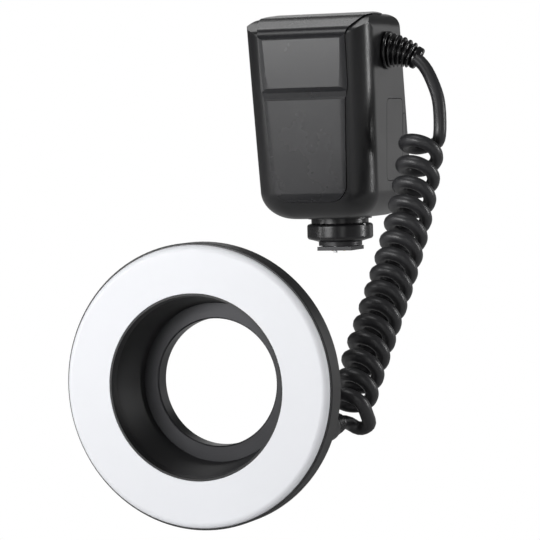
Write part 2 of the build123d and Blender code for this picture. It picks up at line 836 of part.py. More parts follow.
def casing_form(inset):
    # The casing's outer form, or the same form drawn in by a wall
    rounded_top = casing_bottom + bottom_round_height
    rounded_height = bottom_round_height - inset
    upper_step = (casing_top + overrun - rounded_top) / (casing_sections - 1)
    upper = [casing_section(rounded_top + step * upper_step, 0, inset) for step in range(casing_sections)]
    lower = []
    for step in range(bottom_steps + 1):
        angle = math.radians(90 * step / bottom_steps)
        height = rounded_top - rounded_height * math.cos(angle)
        lower.append(casing_section(height, 1 - math.sin(angle), inset))
    with BuildPart() as body:
        loft(sections=upper)
        loft(sections=lower)
        # the top's rounded sides
        low = casing_bottom - overrun
        top = casing_top - inset
        slack = form_slack - inset
        with BuildSketch(Plane.XZ):
            with BuildLine():
                FilletPolyline(
                    (-half_width(low) - slack, low),
                    (half_width(low) + slack, low),
                    (half_width(top) + slack, top),
                    (-half_width(top) - slack, top),
                    radius=[0, 0, top_round_x - inset, top_round_x - inset],
                    close=True,
                )
            make_face()
        extrude(amount=casing_top, both=True, mode=Mode.INTERSECT)
        # the brow and the sloping shoulder in front and the rounded edge behind
        brow = brow_height - inset
        brow_slope = math.tan(math.radians(front_lean)) + (front_reference_height - brow) / front_bow_radius
        with BuildSketch(Plane.YZ):
            with BuildLine():
                FilletPolyline(
                    (front_y(brow) - slack + brow_slope * (brow - low), low),
                    (front_y(brow) - slack, brow),
                    (-shoulder_reach, shoulder_height - inset),
                    (-crest_reach, top),
                    (rear_y(top) + slack, top),
                    (rear_y(low) + slack, low),
                    radius=[0, brow_round - inset, shoulder_round, shoulder_round, rear_top_round - inset, 0],
                    close=True,
                )
            make_face()
        extrude(amount=casing_top, both=True, mode=Mode.INTERSECT)
    return body.part


casing_outer = casing_form(0)
casing_inner = casing_form(casing_wall)
split_plane = Plane(
    origin=(0, split_y, split_height),
    x_dir=(1, 0, 0),
    z_dir=(0, math.cos(math.radians(split_lean)), math.sin(math.radians(split_lean))),
)

# Front panel: a tongue over the front and the brow, with a shallow crease across it
panel_seat = 1.4
panel_proud = 0.8
panel_bottom = 26.0
panel_top_half_width = 23.3
panel_low_half_width = 21.7
panel_foot_half_width = 19.3
panel_foot_round = 9.0
crease_top = 83.5
crease_bottom = 77.2
crease_depth = 1.0
crease_edge = 1.2
panel_belly_height = 52.0
panel_belly_round = 180.0
flare_height = 111.0
flare_half_width = 30.5
flare_round = 10.0
panel_end_y = split_y - math.tan(math.radians(split_lean)) * (casing_top - split_height)


def panel_prism(gap):
    # The panel's outline seen from the front, with a gap all round
    with BuildPart() as prism:
        with BuildSketch(Plane.XZ):
            with BuildLine():
                right = [
                    (panel_foot_half_width + gap, panel_bottom - gap),
                    (panel_low_half_width + gap, crease_bottom),
                    (panel_top_half_width + gap, crease_top),
                    (panel_top_half_width + gap, flare_height),
                    (flare_half_width + gap, casing_top + 2 * overrun),
                ]
                left = [(-x, z) for x, z in right[::-1]]
                rounds = [panel_foot_round, 0, 0, flare_round, 0]
                rounds = rounds + rounds[::-1]
                FilletPolyline(*right, *left, radius=rounds, close=True)
            make_face()
        extrude(amount=casing_top, both=True)
    return prism.part


def panel_y(height):
    return front_y(height) - panel_proud


panel_outline = panel_prism(0)
panel_hole = panel_prism(seat_gap)
casing_seat = casing_form(panel_seat)
panel_skin = casing_form(-panel_proud)

with BuildPart() as front_panel:
    with BuildSketch(Plane.YZ):
        with BuildLine():
            FilletPolyline(
                (panel_y(panel_bottom), panel_bottom),
                (panel_y(panel_belly_height), panel_belly_height),
                (panel_y(crease_bottom), crease_bottom),
                (panel_y(crease_bottom) + crease_depth, crease_bottom + crease_edge),
                (panel_y(crease_top) + crease_depth, crease_top - 2 * crease_edge),
                (panel_y(crease_top), crease_top),
                (panel_y(casing_top), casing_top + overrun),
                (panel_end_y, casing_top + overrun),
                (panel_end_y, panel_bottom),
                radius=[0, panel_belly_round, 0, 0, 0, 0, 0, 0, 0],
                close=True,
            )
        make_face()
    extrude(amount=casing_top, both=True)
    add(panel_outline, mode=Mode.INTERSECT)
    add(panel_skin, mode=Mode.INTERSECT)
    add(casing_seat, mode=Mode.SUBTRACT)

front_panel.part.label = "front_panel"
export_step(front_panel.part, "parts/front_panel.step")

# Battery pack: a cartridge drawn out to the right, its end cap part of the right wall
battery_y = -3.0
battery_z = 56.3
battery_cap_depth = 23.4
battery_cap_height = 41.4
battery_cap_round = 3.0
battery_body_depth = 20.4
battery_body_height = 40.0
battery_left_x = -26.3
battery_cap_x = 28.5
bay_wall = 1.0


def battery_block(depth, height, corner, left, right):
    # A block along X on the battery's axis
    with BuildPart() as block:
        with BuildSketch(Plane.YZ.offset(left)):
            with Locations((battery_y, battery_z)):
                RectangleRounded(depth, height, corner)
        extrude(amount=right - left)
    return block.part


battery_cap = battery_block(
    battery_cap_depth, battery_cap_height, battery_cap_round, battery_cap_x, casing_top_half_width
)
battery_body = battery_block(
    battery_body_depth, battery_body_height, battery_cap_round, battery_left_x, battery_cap_x + overrun
)
battery_hole = battery_block(
    battery_cap_depth + 2 * moving_gap,
    battery_cap_height + 2 * moving_gap,
    battery_cap_round + moving_gap,
    battery_cap_x - overrun,
    casing_top_half_width + overrun,
)

with BuildPart() as battery_pack:
    add(battery_cap)
    add(casing_outer, mode=Mode.INTERSECT)
    add(battery_body)

battery_pack.part.label = "battery_pack"
export_step(battery_pack.part, "parts/battery_pack.step")

# Battery release: a small sprung button in the right wall behind the battery's end cap
release_y = 11.4
release_z = 62.5
release_depth = 3.4
release_height = 14.0
release_round = 1.2
release_flange = 1.0
release_flange_thickness = 1.2

with BuildPart() as battery_release:
    with BuildSketch(Plane.YZ.offset(battery_cap_x + overrun)):
        with Locations((release_y, release_z)):
            RectangleRounded(release_depth, release_height, release_round)
    extrude(amount=casing_top_half_width - battery_cap_x)
    add(casing_outer, mode=Mode.INTERSECT)
    with BuildSketch(Plane.YZ.offset(battery_cap_x)):
        with Locations((release_y, release_z)):
            RectangleRounded(
                release_depth + release_flange, release_height + 2 * release_flange, release_round
            )
    extrude(amount=release_flange_thickness)

battery_release.part.label = "battery_release"
export_step(battery_release.part, "parts/battery_release.step")

# Service socket and its hinged cover in the left wall
socket_y = -6.0
socket_z = 95.0
socket_width = 9.2
socket_height = 3.4
socket_depth = 8.0
socket_wall = 0.5
cover_width = 8.4
cover_height = 15.0
cover_thickness = 1.3
cover_knuckle_radius = 0.65
cover_knuckle_offset = 5.0
cover_pin_radius = 0.35
cover_recess_depth = 1.5
cover_recess_back = 6.1

left_wall = Plane(
    origin=(-half_width(socket_z), socket_y, socket_z),
    x_dir=(0, -1, 0),
    z_dir=(-math.cos(math.radians(side_taper)), 0, -math.sin(math.radians(side_taper))),
)
cover_recess_front = cover_width / 2 + moving_gap
cover_recess_middle = (cover_recess_front - cover_recess_back) / 2



def knuckle_plane(shift):
    # A plane square to the cover's hinge line, at a distance along the hinge
    return Plane(
        origin=left_wall.from_local_coords(Vector(-cover_knuckle_offset, shift, -cover_knuckle_radius)),
        x_dir=left_wall.x_dir,
        z_dir=left_wall.y_dir,
    )


with BuildPart() as cover_cut:
    with BuildSketch(left_wall.offset(overrun)):
        with Locations((cover_recess_middle, 0)):
            Rectangle(cover_recess_front + cover_recess_back, cover_height + 2 * moving_gap)
    extrude(amount=-cover_recess_depth - overrun)
    with BuildSketch(left_wall):
        RectangleRounded(socket_height + 2 * seat_gap, socket_width + 2 * seat_gap, socket_height / 2)
    extrude(amount=-casing_wall - overrun)

with BuildPart() as usb_cover:
    with BuildSketch(left_wall):
        Rectangle(cover_width, cover_height)
    extrude(amount=-cover_thickness)
    with BuildSketch(left_wall.offset(-cover_knuckle_radius)):
        with Locations((-(cover_width / 2 + cover_knuckle_offset) / 2, 0)):
            Rectangle(cover_knuckle_offset - cover_width / 2, cover_height / 2)
    extrude(amount=-cover_knuckle_radius)
    with BuildSketch(knuckle_plane(-cover_height / 4)):
        Circle(cover_knuckle_radius)
    extrude(amount=cover_height / 2)
    with BuildSketch(knuckle_plane(-cover_height / 4)):
        Circle(cover_pin_radius + running_gap)
    extrude(amount=cover_height / 2, mode=Mode.SUBTRACT)

usb_cover.part.label = "usb_cover"
export_step(usb_cover.part, "parts/usb_cover.step")
print("cover hinge", knuckle_plane(0).origin, left_wall.y_dir)

with BuildPart() as usb_cover_pin:
    with BuildSketch(knuckle_plane(-cover_height / 2)):
        Circle(cover_pin_radius)
    extrude(amount=cover_height)

usb_cover_pin.part.label = "usb_cover_pin"
export_step(usb_cover_pin.part, "parts/usb_cover_pin.step")

with BuildPart() as usb_socket:
    with BuildSketch(left_wall.offset(-cover_recess_depth)):
        RectangleRounded(socket_height, socket_width, socket_height / 2 - seat_gap)
        RectangleRounded(
            socket_height - 2 * socket_wall,
            socket_width - 2 * socket_wall,
            socket_height / 2 - seat_gap - socket_wall,
            mode=Mode.SUBTRACT,
        )
    extrude(amount=-socket_depth)
    with BuildSketch(left_wall.offset(-cover_recess_depth - socket_depth)):
        Rectangle(socket_height + 2 * socket_wall, socket_width + 2 * socket_wall)
    extrude(amount=-socket_wall)

usb_socket.part.label = "usb_socket"
export_step(usb_socket.part, "parts/usb_socket.step")

# Layout of the leaning rear face: u runs to the right as seen from behind, v up the slope
face_height = 70.0
rear_face = Plane(
    origin=(0, rear_y(face_height), face_height),
    x_dir=(-1, 0, 0),
    z_dir=(0, math.cos(math.radians(rear_lean)), math.sin(math.radians(rear_lean))),
)
print("rear face", rear_face.origin, rear_face.z_dir)
fascia_width = 46.0
fascia_height = 77.0
fascia_round = 4.0
fascia_thickness = 1.0
window_width = 41.0
window_height = 24.0
window_v = 21.5
window_round = 1.5
window_ledge = 1.0
key_width = 8.4
key_height = 4.2
key_round = 1.0
function_key_pitch = 11.0
function_key_v = 3.0
function_keys = 4
side_key_u = 18.4
side_key_v = -7.0
side_key_width = 7.0
side_key_height = 5.0
key_proud = 0.9
key_travel = 0.5
key_flange = 0.7
key_flange_thickness = 0.8
test_key_u = 18.4
test_key_v = -31.0
test_key_radius = 2.8
dial_v = -20.0
dial_radius = 11.6
dial_inner_radius = 6.4
dial_proud = 1.7
dial_flange = 0.9
dial_flange_thickness = 1.0
dial_teeth = 24
dial_tooth = 0.45
set_key_radius = 5.9
switch_u = -18.4
switch_v = -31.0
switch_travel = 3.0
switch_knob_width = 3.6
switch_knob_height = 4.4
switch_proud = 1.3
switch_plate_thickness = 0.8
display_board_depth = 5.4
display_board_width = 46.0
display_board_height = 78.0
board_boss_radius = 1.9
board_boss_u = 20.6
board_boss_v = 36.3
board_screw_radius = 0.8
board_screw_head_radius = 1.6
board_screw_head = 0.9
board_screw_length = 4.6

function_key_us = [function_key_pitch * (index - (function_keys - 1) / 2) for index in range(function_keys)]
board_boss_places = [
    (board_boss_u, board_boss_v),
    (-board_boss_u, board_boss_v),
    (board_boss_u, -board_boss_v),
    (-board_boss_u, -board_boss_v),
]


def rear_holes(top, bottom):
    # Everything that passes through the rear face, between two levels
    with BuildPart() as holes:
        with BuildSketch(rear_face.offset(top)):
            for u in function_key_us:
                with Locations((u, function_key_v)):
                    RectangleRounded(key_width + 2 * moving_gap, key_height + 2 * moving_gap, key_round)
            with Locations((side_key_u, side_key_v), (-side_key_u, side_key_v)):
                RectangleRounded(side_key_width + 2 * moving_gap, side_key_height + 2 * moving_gap, key_round)
            with Locations((test_key_u, test_key_v)):
                Circle(test_key_radius + moving_gap)
            with Locations((0, dial_v)):
                Circle(dial_radius + moving_gap)
            with Locations((switch_u, switch_v)):
                Rectangle(
                    switch_knob_width + switch_travel + 2 * moving_gap, switch_knob_height + 2 * moving_gap
                )
        extrude(amount=bottom - top)
    return holes.part


hole_tool = rear_holes(overrun, -casing_wall - overrun)

with BuildPart() as rear_fascia:
    with BuildSketch(rear_face):
        RectangleRounded(fascia_width, fascia_height, fascia_round)
        with Locations((0, window_v)):
            RectangleRounded(
                window_width + 2 * seat_gap, window_height + 2 * seat_gap, window_round, mode=Mode.SUBTRACT
            )
    extrude(amount=-fascia_thickness)
    add(hole_tool, mode=Mode.SUBTRACT)

rear_fascia.part.label = "rear_fascia"
export_step(rear_fascia.part, "parts/rear_fascia.step")

with BuildPart() as display_window:
    with BuildSketch(rear_face):
        with Locations((0, window_v)):
            RectangleRounded(window_width, window_height, window_round)
    extrude(amount=-fascia_thickness)

display_window.part.label = "display_window"
export_step(display_window.part, "parts/display_window.step")

# The two shells of the casing
with BuildPart() as front_shell:
    add(casing_outer)
    add(casing_inner, mode=Mode.SUBTRACT)
    split(bisect_by=split_plane, keep=Keep.BOTTOM)
    add(panel_hole - casing_seat, mode=Mode.SUBTRACT)
    add(battery_hole, mode=Mode.SUBTRACT)
    add(cover_cut.part, mode=Mode.SUBTRACT)
    with BuildSketch(Plane.XY.offset(casing_bottom - overrun)):
        Circle(stem_radius + running_gap)
        with PolarLocations(neck_screw_circle, neck_screw_count, start_angle=neck_screw_start):
            Circle(neck_screw_radius + seat_gap)
    extrude(amount=casing_wall + 2 * overrun, mode=Mode.SUBTRACT)

front_shell.part.label = "front_shell"
export_step(front_shell.part, "parts/front_shell.step")

release_hole_depth = release_depth + 2 * moving_gap
release_hole_height = release_height + 2 * moving_gap
board_level = -display_board_depth
with BuildPart() as rear_shell:
    add(casing_outer)
    add(casing_inner, mode=Mode.SUBTRACT)
    split(bisect_by=split_plane, keep=Keep.TOP)
    add(battery_hole, mode=Mode.SUBTRACT)
    add(cover_cut.part, mode=Mode.SUBTRACT)
    with BuildSketch(Plane.XY.offset(casing_bottom - overrun)):
        Circle(stem_radius + running_gap)
        with PolarLocations(neck_screw_circle, neck_screw_count, start_angle=neck_screw_start):
            Circle(neck_screw_radius + seat_gap)
    extrude(amount=casing_wall + 2 * overrun, mode=Mode.SUBTRACT)
    # shallow recess for the fascia, then the openings behind it
    with BuildSketch(rear_face.offset(overrun)):
        RectangleRounded(fascia_width + 2 * seat_gap, fascia_height + 2 * seat_gap, fascia_round)
    extrude(amount=-fascia_thickness - overrun, mode=Mode.SUBTRACT)
    with BuildSketch(rear_face):
        with Locations((0, window_v)):
            Rectangle(window_width - 2 * window_ledge, window_height - 2 * window_ledge)
    extrude(amount=-casing_wall - overrun, mode=Mode.SUBTRACT)
    add(hole_tool, mode=Mode.SUBTRACT)
    with BuildSketch(Plane.YZ.offset(battery_cap_x + release_flange_thickness)):
        with Locations((release_y, release_z)):
            RectangleRounded(release_hole_depth, release_hole_height, release_round)
    extrude(amount=casing_top_half_width, mode=Mode.SUBTRACT)
    # bosses that carry the display board
    with BuildSketch(rear_face.offset(board_level)):
        with Locations(*board_boss_places):
            Circle(board_boss_radius)
    extrude(amount=display_board_depth - casing_wall + seat_gap)
    with BuildSketch(rear_face.offset(board_level)):
        with Locations(*board_boss_places):
            Circle(board_screw_radius)
    extrude(amount=board_screw_length - board_thickness, mode=Mode.SUBTRACT)

rear_shell.part.label = "rear_shell"
export_step(rear_shell.part, "parts/rear_shell.step")
print("shells done")


def rear_key(u, v, width, height, name):
    # A key with a flange behind the wall and a stem that reaches the display board
    with BuildPart() as key:
        with BuildSketch(rear_face.offset(key_proud)):
            with Locations((u, v)):
                RectangleRounded(width, height, key_round - moving_gap)
        extrude(amount=-key_proud - casing_wall - seat_gap)
        with BuildSketch(rear_face.offset(-casing_wall - seat_gap)):
            with Locations((u, v)):
                Rectangle(width + 2 * key_flange, height + 2 * key_flange)
        extrude(amount=-key_flange_thickness)
        with BuildSketch(rear_face.offset(-casing_wall)):
            with Locations((u, v)):
                Circle(key_stem_radius)
        extrude(amount=casing_wall - display_board_depth + key_travel + seat_gap)
        outward = Axis(origin=rear_face.origin, direction=rear_face.z_dir)
        fillet(key.faces().sort_by(outward)[-1].edges(), radius=key_edge)
    key.part.label = name
    export_step(key.part, "parts/" + name + ".step")


key_stem_radius = 1.0
key_edge = 0.3

for index, u in enumerate(function_key_us):
    rear_key(u, function_key_v, key_width, key_height, "function_key_" + str(index + 1))
rear_key(-side_key_u, side_key_v, side_key_width, side_key_height, "mode_key")
rear_key(side_key_u, side_key_v, side_key_width, side_key_height, "wireless_key")

# Test key: a small round key that also shows the ready light
with BuildPart() as test_key:
    with BuildSketch(rear_face.offset(key_proud)):
        with Locations((test_key_u, test_key_v)):
            Circle(test_key_radius)
    extrude(amount=-key_proud - casing_wall - seat_gap)
    with BuildSketch(rear_face.offset(-casing_wall - seat_gap)):
        with Locations((test_key_u, test_key_v)):
            Circle(test_key_radius + key_flange)
    extrude(amount=-key_flange_thickness)
    with BuildSketch(rear_face.offset(-casing_wall)):
        with Locations((test_key_u, test_key_v)):
            Circle(key_stem_radius)
    extrude(amount=casing_wall - display_board_depth + key_travel + seat_gap)

test_key.part.label = "test_key"
export_step(test_key.part, "parts/test_key.step")

# Set key: round, in the middle of the dial
with BuildPart() as set_key:
    with BuildSketch(rear_face.offset(key_proud)):
        with Locations((0, dial_v)):
            Circle(set_key_radius)
    extrude(amount=-key_proud - casing_wall - seat_gap)
    with BuildSketch(rear_face.offset(-casing_wall - seat_gap - dial_flange_thickness)):
        with Locations((0, dial_v)):
            Circle(set_key_radius + key_flange)
    extrude(amount=-key_flange_thickness)
    with BuildSketch(rear_face.offset(-casing_wall)):
        with Locations((0, dial_v)):
            Circle(set_key_radius - key_flange)
    extrude(amount=-seat_gap - dial_flange_thickness - key_flange_thickness)
    with BuildSketch(rear_face.offset(-casing_wall)):
        with Locations((0, dial_v)):
            Circle(key_stem_radius)
    extrude(amount=casing_wall - display_board_depth + key_travel + seat_gap)

set_key.part.label = "set_key"
export_step(set_key.part, "parts/set_key.step")

# Select dial: a milled ring with a flange behind the wall
dial_bottom = casing_wall + seat_gap + dial_flange_thickness
with BuildPart() as select_dial:
    with BuildSketch(rear_face.offset(dial_proud)):
        with Locations((0, dial_v)):
            Circle(dial_radius)
            Circle(dial_inner_radius, mode=Mode.SUBTRACT)
            with PolarLocations(dial_radius, dial_teeth):
                Circle(dial_tooth, mode=Mode.SUBTRACT)
    extrude(amount=-dial_proud - dial_bottom)
    with BuildSketch(rear_face.offset(-casing_wall - seat_gap)):
        with Locations((0, dial_v)):
            Circle(dial_radius + dial_flange)
            Circle(dial_inner_radius, mode=Mode.SUBTRACT)
    extrude(amount=-dial_flange_thickness)

select_dial.part.label = "select_dial"
export_step(select_dial.part, "parts/select_dial.step")
print("dial centre", rear_face.from_local_coords(Vector(0, dial_v, 0)))

# Power switch: a sliding knob on a plate behind the wall, drawn in its off place
switch_off_u = switch_u + switch_travel / 2
with BuildPart() as power_switch:
    with BuildSketch(rear_face.offset(switch_proud)):
        with Locations((switch_off_u, switch_v)):
            RectangleRounded(switch_knob_width, switch_knob_height, key_round - moving_gap)
    extrude(amount=-switch_proud - casing_wall - seat_gap)
    with BuildSketch(rear_face.offset(-casing_wall - seat_gap)):
        with Locations((switch_off_u, switch_v)):
            Rectangle(switch_knob_width + 2 * key_flange, switch_knob_height + 2 * key_flange)
    extrude(amount=-switch_plate_thickness)

power_switch.part.label = "power_switch"
export_step(power_switch.part, "parts/power_switch.step")

# Display behind the window, and the board that carries it and the switches
display_inset = window_ledge + seat_gap
with BuildPart() as display_panel:
    with BuildSketch(rear_face.offset(-fascia_thickness - seat_gap)):
        with Locations((0, window_v)):
            Rectangle(window_width - 2 * display_inset, window_height - 2 * display_inset)
    extrude(amount=fascia_thickness - display_board_depth + 2 * seat_gap)

display_panel.part.label = "display_panel"
export_step(display_panel.part, "parts/display_panel.step")

with BuildPart() as display_board:
    with BuildSketch(rear_face.offset(-display_board_depth - seat_gap)):
        Rectangle(display_board_width, display_board_height)
        with Locations(*board_boss_places):
            Circle(board_screw_radius + seat_gap, mode=Mode.SUBTRACT)
    extrude(amount=-board_thickness)

display_board.part.label = "display_board"
export_step(display_board.part, "parts/display_board.step")

screw_seat = -display_board_depth - 2 * seat_gap - board_thickness
with BuildPart() as board_screws:
    with BuildSketch(rear_face.offset(screw_seat)):
        with Locations(*board_boss_places):
            Circle(board_screw_head_radius)
    extrude(amount=-board_screw_head)
    with BuildSketch(rear_face.offset(screw_seat)):
        with Locations(*board_boss_places):
            Circle(board_screw_radius - seat_gap)
    extrude(amount=board_screw_length - overrun)

board_screws.part.label = "board_screws"
export_step(board_screws.part, "parts/board_screws.step")
print("rear face pieces done")

# Battery bay: an open tub round the cartridge, with its sprung contacts at the closed end
bay_slack = 0.3
bay_left_x = battery_left_x - bay_slack - bay_wall
bay_right_x = battery_cap_x - bay_slack
contact_block_thickness = 1.2
contact_block_depth = 14.0
contact_block_height = 26.0
contact_pad_radius = 1.2
contact_pad_pitch = 8.0
contact_pads = 3
main_board_y = -18.8
main_board_width = 46.0
main_board_bottom = 30.0
main_board_top = 103.0
standoff_radius = 1.6
standoff_x = 19.0
standoff_reach = 15.0

with BuildPart() as battery_bay:
    with BuildSketch(Plane.YZ.offset(bay_left_x)):
        with Locations((battery_y, battery_z)):
            RectangleRounded(
                battery_body_depth + 2 * (bay_slack + bay_wall),
                battery_body_height + 2 * (bay_slack + bay_wall),
                battery_cap_round + bay_slack + bay_wall,
            )
    extrude(amount=bay_right_x - bay_left_x)
    with BuildSketch(Plane.YZ.offset(bay_left_x + bay_wall)):
        with Locations((battery_y, battery_z)):
            RectangleRounded(
                battery_body_depth + 2 * bay_slack,
                battery_body_height + 2 * bay_slack,
                battery_cap_round + bay_slack,
            )
    extrude(amount=bay_right_x - bay_left_x, mode=Mode.SUBTRACT)
    with BuildSketch(Plane.YZ.offset(bay_left_x - overrun)):
        with Locations((battery_y, battery_z)):
            with GridLocations(contact_pad_pitch, contact_pad_pitch, 1, contact_pads):
                Circle(contact_pad_radius + seat_gap)
    extrude(amount=bay_wall + 2 * overrun, mode=Mode.SUBTRACT)
    with BuildSketch(Plane.XZ.offset(-main_board_y)):
        with Locations(
            (standoff_x, battery_z - standoff_reach),
            (-standoff_x, battery_z - standoff_reach),
            (standoff_x, battery_z + standoff_reach),
            (-standoff_x, battery_z + standoff_reach),
        ):
            Circle(standoff_radius)
    extrude(amount=main_board_y - battery_y + battery_body_depth / 2 + bay_slack)

battery_bay.part.label = "battery_bay"
export_step(battery_bay.part, "parts/battery_bay.step")

with BuildPart() as battery_contacts:
    with BuildSketch(Plane.YZ.offset(bay_left_x - seat_gap)):
        with Locations((battery_y, battery_z)):
            Rectangle(contact_block_depth, contact_block_height)
    extrude(amount=-contact_block_thickness)
    with BuildSketch(Plane.YZ.offset(bay_left_x - seat_gap)):
        with Locations((battery_y, battery_z)):
            with GridLocations(contact_pad_pitch, contact_pad_pitch, 1, contact_pads):
                Circle(contact_pad_radius)
    extrude(amount=bay_wall + 2 * seat_gap)

battery_contacts.part.label = "battery_contacts"
export_step(battery_contacts.part, "parts/battery_contacts.step")

# Main board in front of the battery bay, with the flash capacitor and the inverter's transformer
capacitor_radius = 9.0
capacitor_x = -12.0
capacitor_bottom = 48.0
capacitor_length = 42.0
capacitor_gap = 0.3
capacitor_edge = 1.0
transformer_x = 12.0
transformer_z = 62.0
transformer_width = 16.0
transformer_height = 16.0
transformer_depth = 13.0
transformer_core_share = 0.6
board_front_y = main_board_y - seat_gap - board_thickness

with BuildPart() as main_circuit_board:
    with BuildSketch(Plane.XZ.offset(seat_gap - main_board_y)):
        with Locations((0, (main_board_bottom + main_board_top) / 2)):
            Rectangle(main_board_width, main_board_top - main_board_bottom)
    extrude(amount=board_thickness)

main_circuit_board.part.label = "main_circuit_board"
export_step(main_circuit_board.part, "parts/main_circuit_board.step")

with BuildPart() as flash_capacitor:
    with BuildSketch(Plane.XY.offset(capacitor_bottom)):
        with Locations((capacitor_x, board_front_y - capacitor_gap - capacitor_radius)):
            Circle(capacitor_radius)
    extrude(amount=capacitor_length)
    fillet(flash_capacitor.edges(), radius=capacitor_edge)

flash_capacitor.part.label = "flash_capacitor"
export_step(flash_capacitor.part, "parts/flash_capacitor.step")

with BuildPart() as inverter_transformer:
    with BuildSketch(Plane.XZ.offset(seat_gap - board_front_y)):
        with Locations((transformer_x, transformer_z)):
            RectangleRounded(transformer_width, transformer_height, capacitor_edge)
    extrude(amount=transformer_depth * transformer_core_share)
    with BuildSketch(Plane.XZ.offset(seat_gap - board_front_y)):
        with Locations((transformer_x, transformer_z)):
            Circle(transformer_width * transformer_core_share / 2)
    extrude(amount=transformer_depth)

inverter_transformer.part.label = "inverter_transformer"
export_step(inverter_transformer.part, "parts/inverter_transformer.step")
print("inside pieces done")

# Neck: a fixed foot and stem, a sprung pressure plate, and the lock wheel that drives it down
plate_bottom = foot_thickness + rail_gap
plate_top = plate_bottom + plate_thickness
wheel_bottom = plate_top + seat_gap
wheel_top = wheel_bottom + wheel_height
collar_bottom = wheel_top + 2 * seat_gap
collar_top = casing_bottom - seat_gap
wheel_counterbore = wheel_lift + seat_gap
lock_pin_radius = 1.0
lock_pin_y = -7.2
lock_pin_reach = 1.2
contact_pin_radius = 0.6
contact_pin_reach = 0.4
contact_pin_head = 0.9
contact_pin_pitch = 3.2
contact_travel = 0.4
neck_screw_head_radius = 1.7
neck_screw_head = 1.0
neck_screw_length = 4.4
stem_top = casing_bottom + casing_wall
foot_well_depth = 1.4
contact_places = [
    (0, 0),
    (contact_pin_pitch, contact_pin_pitch),
    (-contact_pin_pitch, contact_pin_pitch),
    (contact_pin_pitch, -contact_pin_pitch),
    (-contact_pin_pitch, -contact_pin_pitch),
]

with BuildPart() as shoe_foot:
    with BuildSketch(Plane.XY):
        Rectangle(foot_width, foot_width)
    extrude(amount=foot_thickness)
    with BuildSketch(Plane.XY.offset(foot_thickness)):
        Circle(stem_radius)
    extrude(amount=stem_top - foot_thickness)
    with BuildSketch(Plane.XY.offset(-overrun)):
        with Locations(*contact_places):
            Circle(contact_pin_radius + running_gap)
    extrude(amount=foot_well_depth + overrun, mode=Mode.SUBTRACT)
    with BuildSketch(Plane.XY.offset(foot_well_depth)):
        with Locations(*contact_places):
            Circle(contact_pin_head + running_gap)
    extrude(amount=foot_well_depth, mode=Mode.SUBTRACT)
    with BuildSketch(Plane.XY.offset(-overrun)):
        with Locations((0, lock_pin_y)):
            Circle(lock_pin_radius + running_gap)
    extrude(amount=foot_thickness + 2 * overrun, mode=Mode.SUBTRACT)

shoe_foot.part.label = "shoe_foot"
export_step(shoe_foot.part, "parts/shoe_foot.step")

with BuildPart() as pressure_plate:
    with BuildSketch(Plane.XY.offset(plate_bottom)):
        Circle(plate_radius)
        Circle(stem_radius + running_gap, mode=Mode.SUBTRACT)
        with Locations((0, lock_pin_y)):
            Circle(lock_pin_radius + running_gap, mode=Mode.SUBTRACT)
    extrude(amount=plate_thickness)

pressure_plate.part.label = "pressure_plate"
export_step(pressure_plate.part, "parts/pressure_plate.step")

with BuildPart() as lock_pin:
    with BuildSketch(Plane.XY.offset(-lock_pin_reach)):
        with Locations((0, lock_pin_y)):
            Circle(lock_pin_radius)
    extrude(amount=lock_pin_reach + plate_top)

lock_pin.part.label = "lock_pin"
export_step(lock_pin.part, "parts/lock_pin.step")

with BuildPart() as lock_wheel:
    with BuildSketch(Plane.XY.offset(wheel_bottom + wheel_cone_height)):
        Circle(wheel_radius)
    extrude(amount=wheel_height - wheel_cone_height)
    fillet(lock_wheel.edges(), radius=wheel_round)
    with BuildSketch(Plane.XY.offset(wheel_bottom + wheel_cone_height)):
        Circle(wheel_radius - wheel_round)
    with BuildSketch(Plane.XY.offset(wheel_bottom)):
        Circle(wheel_cone_radius)
    loft()
    with BuildSketch(Plane.XY.offset(wheel_bottom)):
        Circle(stem_radius + running_gap)
    extrude(amount=wheel_height, mode=Mode.SUBTRACT)
    with BuildSketch(Plane.XY.offset(wheel_top)):
        Circle(collar_radius + moving_gap)
    extrude(amount=-wheel_counterbore, mode=Mode.SUBTRACT)

lock_wheel.part.label = "lock_wheel"
export_step(lock_wheel.part, "parts/lock_wheel.step")

with BuildPart() as neck_collar:
    with BuildSketch(Plane.XY.offset(collar_bottom)):
        Circle(collar_radius)
    extrude(amount=collar_top - collar_rim_height - collar_bottom)
    with BuildSketch(Plane.XY.offset(collar_top - collar_rim_height)):
        Circle(collar_rim_radius)
    extrude(amount=collar_rim_height)
    with BuildSketch(Plane.XY.offset(collar_bottom)):
        Circle(stem_radius + running_gap)
        with PolarLocations(neck_screw_circle, neck_screw_count, start_angle=neck_screw_start):
            Circle(neck_screw_radius + running_gap)
    extrude(amount=collar_top - collar_bottom, mode=Mode.SUBTRACT)

neck_collar.part.label = "neck_collar"
export_step(neck_collar.part, "parts/neck_collar.step")

with BuildPart() as neck_screws:
    with BuildSketch(Plane.XY.offset(stem_top + seat_gap)):
        with PolarLocations(neck_screw_circle, neck_screw_count, start_angle=neck_screw_start):
            Circle(neck_screw_head_radius)
    extrude(amount=neck_screw_head)
    with BuildSketch(Plane.XY.offset(stem_top + seat_gap)):
        with PolarLocations(neck_screw_circle, neck_screw_count, start_angle=neck_screw_start):
            Circle(neck_screw_radius)
    extrude(amount=-neck_screw_length)

neck_screws.part.label = "neck_screws"
export_step(neck_screws.part, "parts/neck_screws.step")

with BuildPart() as contact_pins:
    with BuildSketch(Plane.XY.offset(-contact_pin_reach)):
        with Locations(*contact_places):
            Circle(contact_pin_radius)
    extrude(amount=contact_pin_reach + foot_well_depth)
    with BuildSketch(Plane.XY.offset(foot_well_depth)):
        with Locations(*contact_places):
            Circle(contact_pin_head)
    extrude(amount=foot_well_depth - contact_travel - moving_gap)

contact_pins.part.label = "contact_pins"
export_step(contact_pins.part, "parts/contact_pins.step")
print("neck done")


